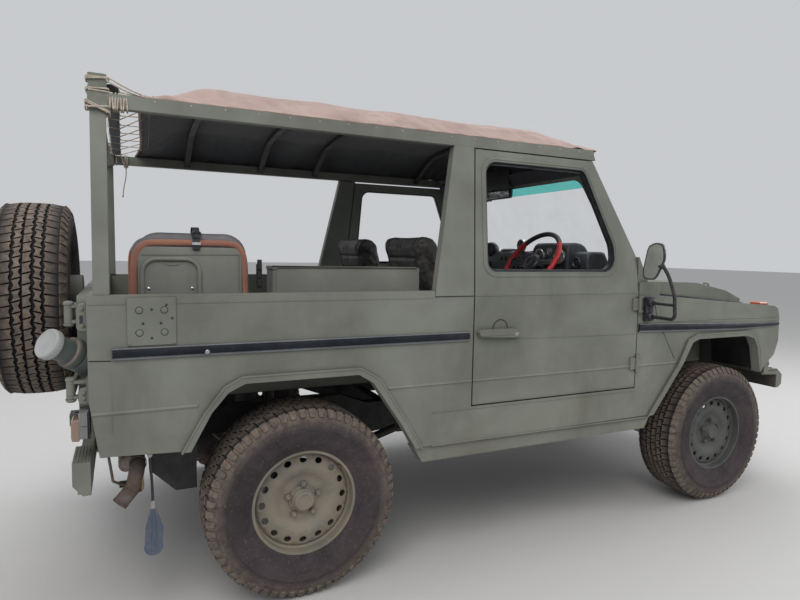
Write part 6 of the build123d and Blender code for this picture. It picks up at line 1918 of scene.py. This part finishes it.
def make_filler():
    neck = Shape()
    a, b = at(-735, -697, 978), at(-857, -797, 1060)
    axis = (b - a).normalized()
    length = (b - a).length
    neck.lathe([(0.012, 0.0600), (0.030, 0.0570), (0.070, 0.0530), (0.074, 0.0500), (0.078, 0.0410),
                (length, 0.0408)], a, axis, steps=48)
    neck.lathe([(0.078, 0.041), (0.080, 0.0535), (0.098, 0.0535), (0.101, 0.041)], a, axis, steps=48)
    neck_obj = neck.piece("filler_neck", "body", NECK_GREY, "paint", bevel=0.001, smooth=35)
    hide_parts("fuel_filler")
    rust_ring = Shape()
    rust_ring.lathe([(0.0995, 0.0410), (0.1000, 0.0525), (0.1045, 0.0515), (0.1050, 0.0410)], a, axis,
                    steps=48)
    rust_ring.piece("filler_collar_edge", "body", RUST, "dark_steel")
    cap = Shape()
    cap.lathe([(-0.016, 0.0), (-0.016, 0.0480), (-0.012, 0.0505), (0.008, 0.0505), (0.0115, 0.0485),
               (0.0125, 0.0440), (0.0105, 0.0405), (0.0112, 0.0200), (0.0125, 0.0)], b, axis, steps=64)
    side = axis.orthogonal().normalized()
    up = axis.cross(side)
    for k in range(28):
        turn = 2 * math.pi * k / 28
        out = side * math.cos(turn) + up * math.sin(turn)
        cap.rod(b - axis * 0.012 + out * 0.0495, b + axis * 0.007 + out * 0.0495, 0.0022, sides=6)
    cap.piece("filler_cap", "body", CAP_GREY, "paint", bevel=0.0008, smooth=35)


# Mirror heads: outline across and up, and the middle's place
HEAD_LINE = [(-34, 74), (4, 95), (42, 86), (54, 44), (53, 2), (10, -88), (-42, -88), (-57, -62)]
HEAD_AT = (1690, -942, 1355)


def head_ring(shrink, deep):
    nx, ny = 0.97, 0.24
    tx, ty = -ny, nx
    ring = []
    count = len(HEAD_LINE)
    for i in range(count):
        p0, p1, p2 = HEAD_LINE[i - 1], HEAD_LINE[i], HEAD_LINE[(i + 1) % count]
        for t in (-0.30, -0.12, 0.12, 0.30):
            q = p2 if t > 0 else p0
            u, v = p1[0] + (q[0] - p1[0]) * abs(t), p1[1] + (q[1] - p1[1]) * abs(t)
            if abs(t) < 0.2:
                u, v = u * 0.985, v * 0.985
            u, v = u * (1 - shrink), v * (1 - shrink * 0.62)
            ring.append(at(HEAD_AT[0] + nx * deep - tx * u, HEAD_AT[1] + ny * deep - ty * u, HEAD_AT[2] + v))
    return ring


def make_mirrors():
    for side, label in ((-1, "right"), (1, "left")):
        shell, glass, tubes = Shape(), Shape(), Shape()
        shell.loft([head_ring(s, d) for s, d in ((0.14, 4), (0.12, 0), (0.06, -1.5), (0.01, 1), (0.0, 7),
                                                 (0.0, 14), (0.10, 24), (0.40, 27))])
        glass.loft([head_ring(0.13, 3.0), head_ring(0.13, 0.2), head_ring(0.15, 0.0)])
        arm = [(1768, -855, 1078), (1768, -960, 1078), (1767, -1002, 1079), (1765, -1017, 1098),
               (1761, -1018, 1140), (1756, -1015, 1200), (1733, -996, 1290), (1706, -976, 1345)]
        tubes.tube(curve_through([at(*p) for p in arm], 5), 0.0088, sides=12)
        tubes.tube([at(1765, -855, 1148), at(1762, -1015, 1148)], 0.0080, sides=12)
        tubes.lathe([(0, 0.015), (0.020, 0.015), (0.023, 0.010)], at(1700, -976, 1345), (0.25, -0.1, -0.4),
                    steps=16)
        drum = Shape()
        for z in (1078, 1148):
            drum.lathe([(-0.016, 0.0), (-0.016, 0.021), (0.010, 0.022), (0.018, 0.019), (0.022, 0.012)],
                       at(1766, -868, z), (0, -1, 0), steps=24)
        drum.slab([(1742, 1054), (1788, 1054), (1790, 1062), (1790, 1166), (1784, 1174), (1744, 1174),
                   (1738, 1166), (1738, 1062)],
                  -851, -868)
        for dx, z in ((-16, 1064), (16, 1064), (-16, 1164), (16, 1164), (0, 1113)):
            drum.lathe([(0, 0.0062), (0.004, 0.0060), (0.0052, 0.0040), (0.0054, 0)], at(1765 + dx, -868, z),
                       (0, -1, 0), steps=6)
        # The outside mirror glass gets the painted reflection, not a mirror finish.
        for shape, name, material in ((shell, "mirror_shell", PLASTIC),
                                      (glass, "mirror_glass", MIRROR_PAINTED_REFLECTION),
                                      (tubes, "mirror_arm", PLASTIC), (drum, "mirror_base", PLASTIC)):
            if side > 0:
                shape.flip()
            obj = shape.piece(f"{name}_{label}", "body", material, "black_plastic", smooth=45)
            if name == "mirror_shell" and side < 0:
                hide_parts("mirrors")


def make_bonnet_seal():
    seal = Shape()
    line = [(1850, 1188), (2320, 1150), (2792, 1112.5)]
    for side in (-1, 1):
        seal.loft([[at(x, side * y, z + dz)
                    for y, dz in ((600, -14), (660, -14), (655, -3), (640, 0.5), (600, 0.5))]
                   for x, z in line])
    seal.box(at(2776, -640, 1096), at(2794, 640, 1108))
    seal.piece("bonnet_seal", "body", STRIP_BLACK, "rubber", smooth=40)


def make_arch_liners():
    liner = Shape()
    for side in (-1, 1):
        rings = []
        for x, z in FRONT_FLARE:
            x, z = FRONT_STATION + (x - FRONT_STATION) * 0.985, z - 4
            rings.append([at(x, side * 545, z), at(x, side * 843, z), at(x, side * 843, z + 3),
                          at(x, side * 545, z + 3)])
        liner.loft(rings)
    liner.piece("front_arch_liners", "body", LINER, "black_metal", smooth=60)


def make_grille():
    """Mesh behind the slats, and the frame round them."""
    grille = Shape()
    for i in range(81):
        y = -405 + i * 10.125
        grille.box(at(2804, y - 0.8, 842), at(2808, y + 0.8, 1058))
    for i in range(22):
        z = 845 + i * 10.1
        grille.box(at(2803, -406, z - 0.8), at(2806, 406, z + 0.8))
    grille.piece("grille_mesh", "body", BLACK, "black_metal")
    frame_bar = Shape()
    for z0, z1 in ((834, 841), (1059, 1066)):
        frame_bar.box(at(2839, -424, z0), at(2846, 424, z1))
    for y0, y1 in ((-424, -417), (417, 424)):
        frame_bar.box(at(2839, y0, 834), at(2846, y1, 1066))
    for z in (904, 950, 996, 1042):
        frame_bar.box(at(2839, -417, z - 26), at(2844, 417, z - 20))
    frame_bar.piece("grille_frame", "body", PAINT, "paint", bevel=0.002)


def make_headlamps():
    """Bright rims with screws, and fluted lenses."""
    rims = Shape()
    for y in (-600, 600):
        rims.lathe([(-0.006, 0.0905), (0.004, 0.0905), (0.010, 0.0960), (0.010, 0.1030), (0.004, 0.1060),
                    (-0.001, 0.1060)],
                   at(2840, y, 985), (1, 0, 0), steps=64)
        for turn in (0.6, 2.5, 4.71):
            rims.lathe([(0, 0.0048), (0.002, 0.0045), (0.0035, 0.0025), (0.0036, 0)],
                       at(2850, y + 99.5 * math.cos(turn), 985 + 99.5 * math.sin(turn)), (1, 0, 0), steps=12)
    rims.piece("headlamp_rims", "body", CHROME, "dark_steel", smooth=40)
    lens = Shape()
    for y in (-600, 600):
        lens.lathe([(-0.004, 0.0880), (0.002, 0.0875), (0.009, 0.0700), (0.013, 0.0400), (0.0145, 0.0)],
                   at(2838, y, 985), (1, 0, 0), steps=64)
        for i in range(-7, 8):
            half = math.sqrt(max(0, 78 ** 2 - (i * 10) ** 2))
            if half > 12:
                x = 2838 + 14.2 * (1 - (abs(i) * 10 / 95) ** 2)
                lens.box(at(x - 3, y + i * 10 - 0.7, 985 - half * 0.82),
                         at(x + 0.4, y + i * 10 + 0.7, 985 + half * 0.82))
    lens.piece("headlamp_lenses", "body", LAMP_LENS, "lamp_glass", smooth=40)


def make_bumper_fittings():
    """Brackets and hooks on the front bumper, and its end plates."""
    plates = Shape()
    for side in (-1, 1):
        plates.slab([(2898, 700), (3000, 700), (2996, 709), (2930, 746), (2905, 742)], side * 700, side * 694)
        plates.slab([(2898, 700), (3006, 700), (3006, 705), (2898, 705)], side * 764, side * 640)
        hook = [(2990, 690, 706), (2990, 690, 726), (3006, 690, 738), (3024, 690, 730), (3028, 690, 712)]
        plates.tube(curve_through([at(x, side * y, z) for x, y, z in hook], 4), 0.007, sides=10)
        for x in (2920, 2975):
            plates.lathe([(0, 0.010), (0.005, 0.0095), (0.007, 0.006), (0.0072, 0)], at(x, side * 740, 705),
                         (0, 0, 1), steps=6)
    plates.piece("bumper_brackets", "body", PAINT, "paint", bevel=0.0015, smooth=40)
    ends = Shape()
    for side in (-1, 1):
        ends.slab([(2846, 697), (2998, 697), (3034, 669), (3034, 613), (3008, 594), (2984, 594), (2984, 672),
                   (2846, 683)],
                  side * 770, side * 773)
    ends.piece("bumper_ends", "body", PAINT, "paint", bevel=0.002)


def make_wipers():
    """Wipers parked low, and black bars as painted shade in the slots of the cowl."""
    wiper = Shape()
    for y0 in (-560, 60):
        pivot = at(1796, y0, 1261)
        tip = at(screen_x(1322, 0) + 16, y0 + 250, 1322)
        wiper.lathe([(-0.012, 0.012), (0.004, 0.012), (0.010, 0.008), (0.011, 0)], pivot, (0.3, 0, 1),
                    steps=20)
        wiper.tube([pivot, pivot.lerp(tip, 0.5) + Vector((0.008, 0, 0.010)), tip], [0.0055, 0.0045, 0.003],
                   sides=8)
        a = at(screen_x(1304, 0) + 8, y0 + 40, 1304)
        b = at(screen_x(1338, 0) + 8, y0 + 460, 1338)
        wiper.tube([a, a.lerp(b, 0.5) + Vector((0.002, 0, 0)), b], 0.0042, sides=8)
        wiper.tube([a.lerp(b, 0.2), tip, a.lerp(b, 0.75)], 0.0032, sides=8)
    wiper.piece("wipers", "body", PLASTIC, "black_plastic", smooth=50)
    # Painted shade: black bars stand in for the dark inside of the cowl's slots.
    ventline = Shape()
    for y in range(-520, 521, 26):
        ventline.box(at(1758, y - 9, 1258.6), at(1796, y + 9, 1260))
    ventline.piece("cowl_slot_shades", "body", RUBBER, "black_metal")


def make_bonnet_fittings():
    """Hooks, pull and pressed lines of the bonnet."""
    pulls = Shape()
    for side in (-1, 1):
        pulls.tube([at(2560, side * 560, 1212), at(2560, side * 560, 1226), at(2600, side * 560, 1220),
                    at(2600, side * 560, 1204)],
                   0.0055, sides=10)
    pulls.tube(curve_through([at(2786, -60, 1138), at(2800, -56, 1148), at(2802, 0, 1150),
                              at(2800, 56, 1148), at(2786, 60, 1138)], 4),
               0.006, sides=10)
    pulls.piece("bonnet_handles", "engine_lid", PAINT, "paint", smooth=50)
    creases = Shape()
    for side in (-1, 1):
        for out, y in ((5, 470), (2.4, 300)):
            creases.tube([at(1900, side * y, 1245 - out + 5), at(2400, side * y * 0.97, 1231 - out + 5),
                          at(2650, side * y * 0.95, 1186 - out + 5)],
                         out * MM, sides=8)
    creases.piece("bonnet_creases", "engine_lid", PAINT, "paint", smooth=60)


def make_rear_details():
    """Rear door's frames, lock and handle, the spare's nuts, the bumper's treads and a blank plate."""
    door = Shape()
    x = -788
    for y0, y1, z0, z1 in ((250, 560, 800, 1180), (-560, 230, 800, 860)):
        line = round_rect(y0, y1, z0, z1, 26, 5)
        ring = [at(x - 0.5, y, z) for y, z in line]
        door.tube([*ring, ring[0]], 0.0045, sides=8)
    door.piece("rear_door_pressings", "tail_door", PAINT, "paint", smooth=60)
    lock = Shape()
    lock.box(at(-806, 500, 1010), at(-787, 556, 1074), mark=1)
    lock.tube(curve_through([at(-806, 520, 1050), at(-832, 500, 1052), at(-836, 440, 1052),
                             at(-828, 410, 1051)], 4), 0.008, sides=10)
    lock.lathe([(0, 0.011), (0.005, 0.0105), (0.007, 0)], at(-806, 538, 1028), (-1, 0, 0), steps=20)
    lock.piece("rear_door_lock", "tail_door", [STEEL, PAINT], "dark_steel", bevel=0.002, smooth=50)
    spare = centre("rim_spare")
    nuts = Shape()
    low_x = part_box("rim_spare")[0].x
    for k in range(3):
        turn = math.radians(90 + 120 * k)
        place = Vector((0, spare.y + 0.052 * math.cos(turn), spare.z + 0.052 * math.sin(turn)))
        place.x = low_x + 0.075
        nuts.rod(place, place + Vector((0.08, 0, 0)), 0.007, sides=12)
        nuts.lathe([(-0.012, 0.0), (-0.012, 0.010), (-0.009, 0.0125), (0.012, 0.0125), (0.014, 0.016),
                    (0.016, 0.016)],
                   place + Vector((0.008, 0, 0)), (1, 0, 0), steps=6)
    nuts.piece("spare_nuts", "tail_door", STEEL, "dark_steel", smooth=40)
    steps = Shape()
    for side in (-1, 1):
        for i in range(5):
            steps.box(at(-796 + i * 10, side * 826, 661), at(-792 + i * 10, side * 646, 663.6))
    steps.piece("bumper_treads", "body", PAINT, "paint", bevel=0.0008)
    plate = Shape()
    plate.box(at(-752, 645, 890), at(-746, 800, 1000))
    for y in (665, 780):
        plate.lathe([(0, 0.006), (0.003, 0.005), (0.0035, 0)], at(-752, y, 990), (-1, 0, 0), steps=12)
    plate.piece("blank_plate", "body", PAINT, "paint", bevel=0.002)


def make_underside():
    """Coil springs and dampers at the four wheels."""
    coils, dampers = Shape(), Shape()
    for x0, y0, radius in ((0, 450, 58), (FRONT_STATION, 450, 54)):
        for side in (-1, 1):
            path = []
            turns = 6.5
            for k in range(int(turns * 20) + 1):
                angle = 2 * math.pi * k / 20
                path.append(at(x0 + radius * math.cos(angle), side * y0 + radius * math.sin(angle),
                               412 + 250 * k / (turns * 20)))
            coils.tube(path, 0.0075, sides=8)
            lean = 90 if x0 == 0 else -90
            low, high = at(x0 + lean + 60, side * 500, 380), at(x0 + lean * 1.6, side * 470, 690)
            dampers.rod(low, low.lerp(high, 0.55), 0.027, sides=20)
            dampers.rod(low.lerp(high, 0.5), high, 0.016, sides=16)
            dampers.rod(low - Vector((0, 0.03, 0)), low + Vector((0, 0.03, 0)), 0.02, sides=16)
    coils.piece("coil_springs", "body", BLACK, "black_metal", smooth=60)
    dampers.piece("dampers", "body", IRON, "dark_steel", smooth=50)


make_lamps()
make_rear_hinges()
make_filler()
make_mirrors()
make_bonnet_seal()
make_arch_liners()
make_grille()
make_headlamps()
make_bumper_fittings()
make_wipers()
make_bonnet_fittings()
make_rear_details()
make_underside()


# Floor, light and background
FLOOR_HALF = 60
FLOOR_GREY = (0.56, 0.55, 0.54)
SKY = (0.80, 0.82, 0.85, 1)
SKY_STRENGTH = 0.72
LIGHT_AIM = Vector((0, 0, 0.9))
LIGHTS = (
    # name, place, size, watts, colour
    ("key_light", (-3.5, -5.0, 7.0), (5, 5), 290, (1.0, 0.98, 0.95)),
    ("top_light", (0.5, 1.5, 7.0), (7, 5), 270, (0.96, 0.98, 1.0)),
    ("front_light", (6.5, -2.0, 3.5), (4, 3), 110, (1, 1, 1)),
)


def make_studio():
    corners = [(x * FLOOR_HALF, y * FLOOR_HALF, 0) for x, y in ((-1, -1), (1, -1), (1, 1), (-1, 1))]
    floor_mesh = bpy.data.meshes.new("floor")
    floor_mesh.from_pydata(corners, [], [(0, 1, 2, 3)])
    floor = bpy.data.objects.new("floor", floor_mesh)
    scene.collection.objects.link(floor)
    s = Shader("studio_floor")
    s.set(Base_Color=FLOOR_GREY, Roughness=0.9, Specular_IOR_Level=0.1)
    floor_mesh.materials.append(s.material)
    world = bpy.data.worlds.new("studio")
    world.use_nodes = True
    back = world.node_tree.nodes["Background"]
    back.inputs["Color"].default_value = SKY
    back.inputs["Strength"].default_value = SKY_STRENGTH
    scene.world = world
    for name, place, size, watts, colour in LIGHTS:
        data = bpy.data.lights.new(name, "AREA")
        data.shape = "RECTANGLE"
        data.size, data.size_y = size
        data.energy, data.color = watts, colour
        light = bpy.data.objects.new(name, data)
        scene.collection.objects.link(light)
        light.location = place
        light.rotation_euler = (LIGHT_AIM - Vector(place)).to_track_quat("-Z", "Y").to_euler()


make_studio()
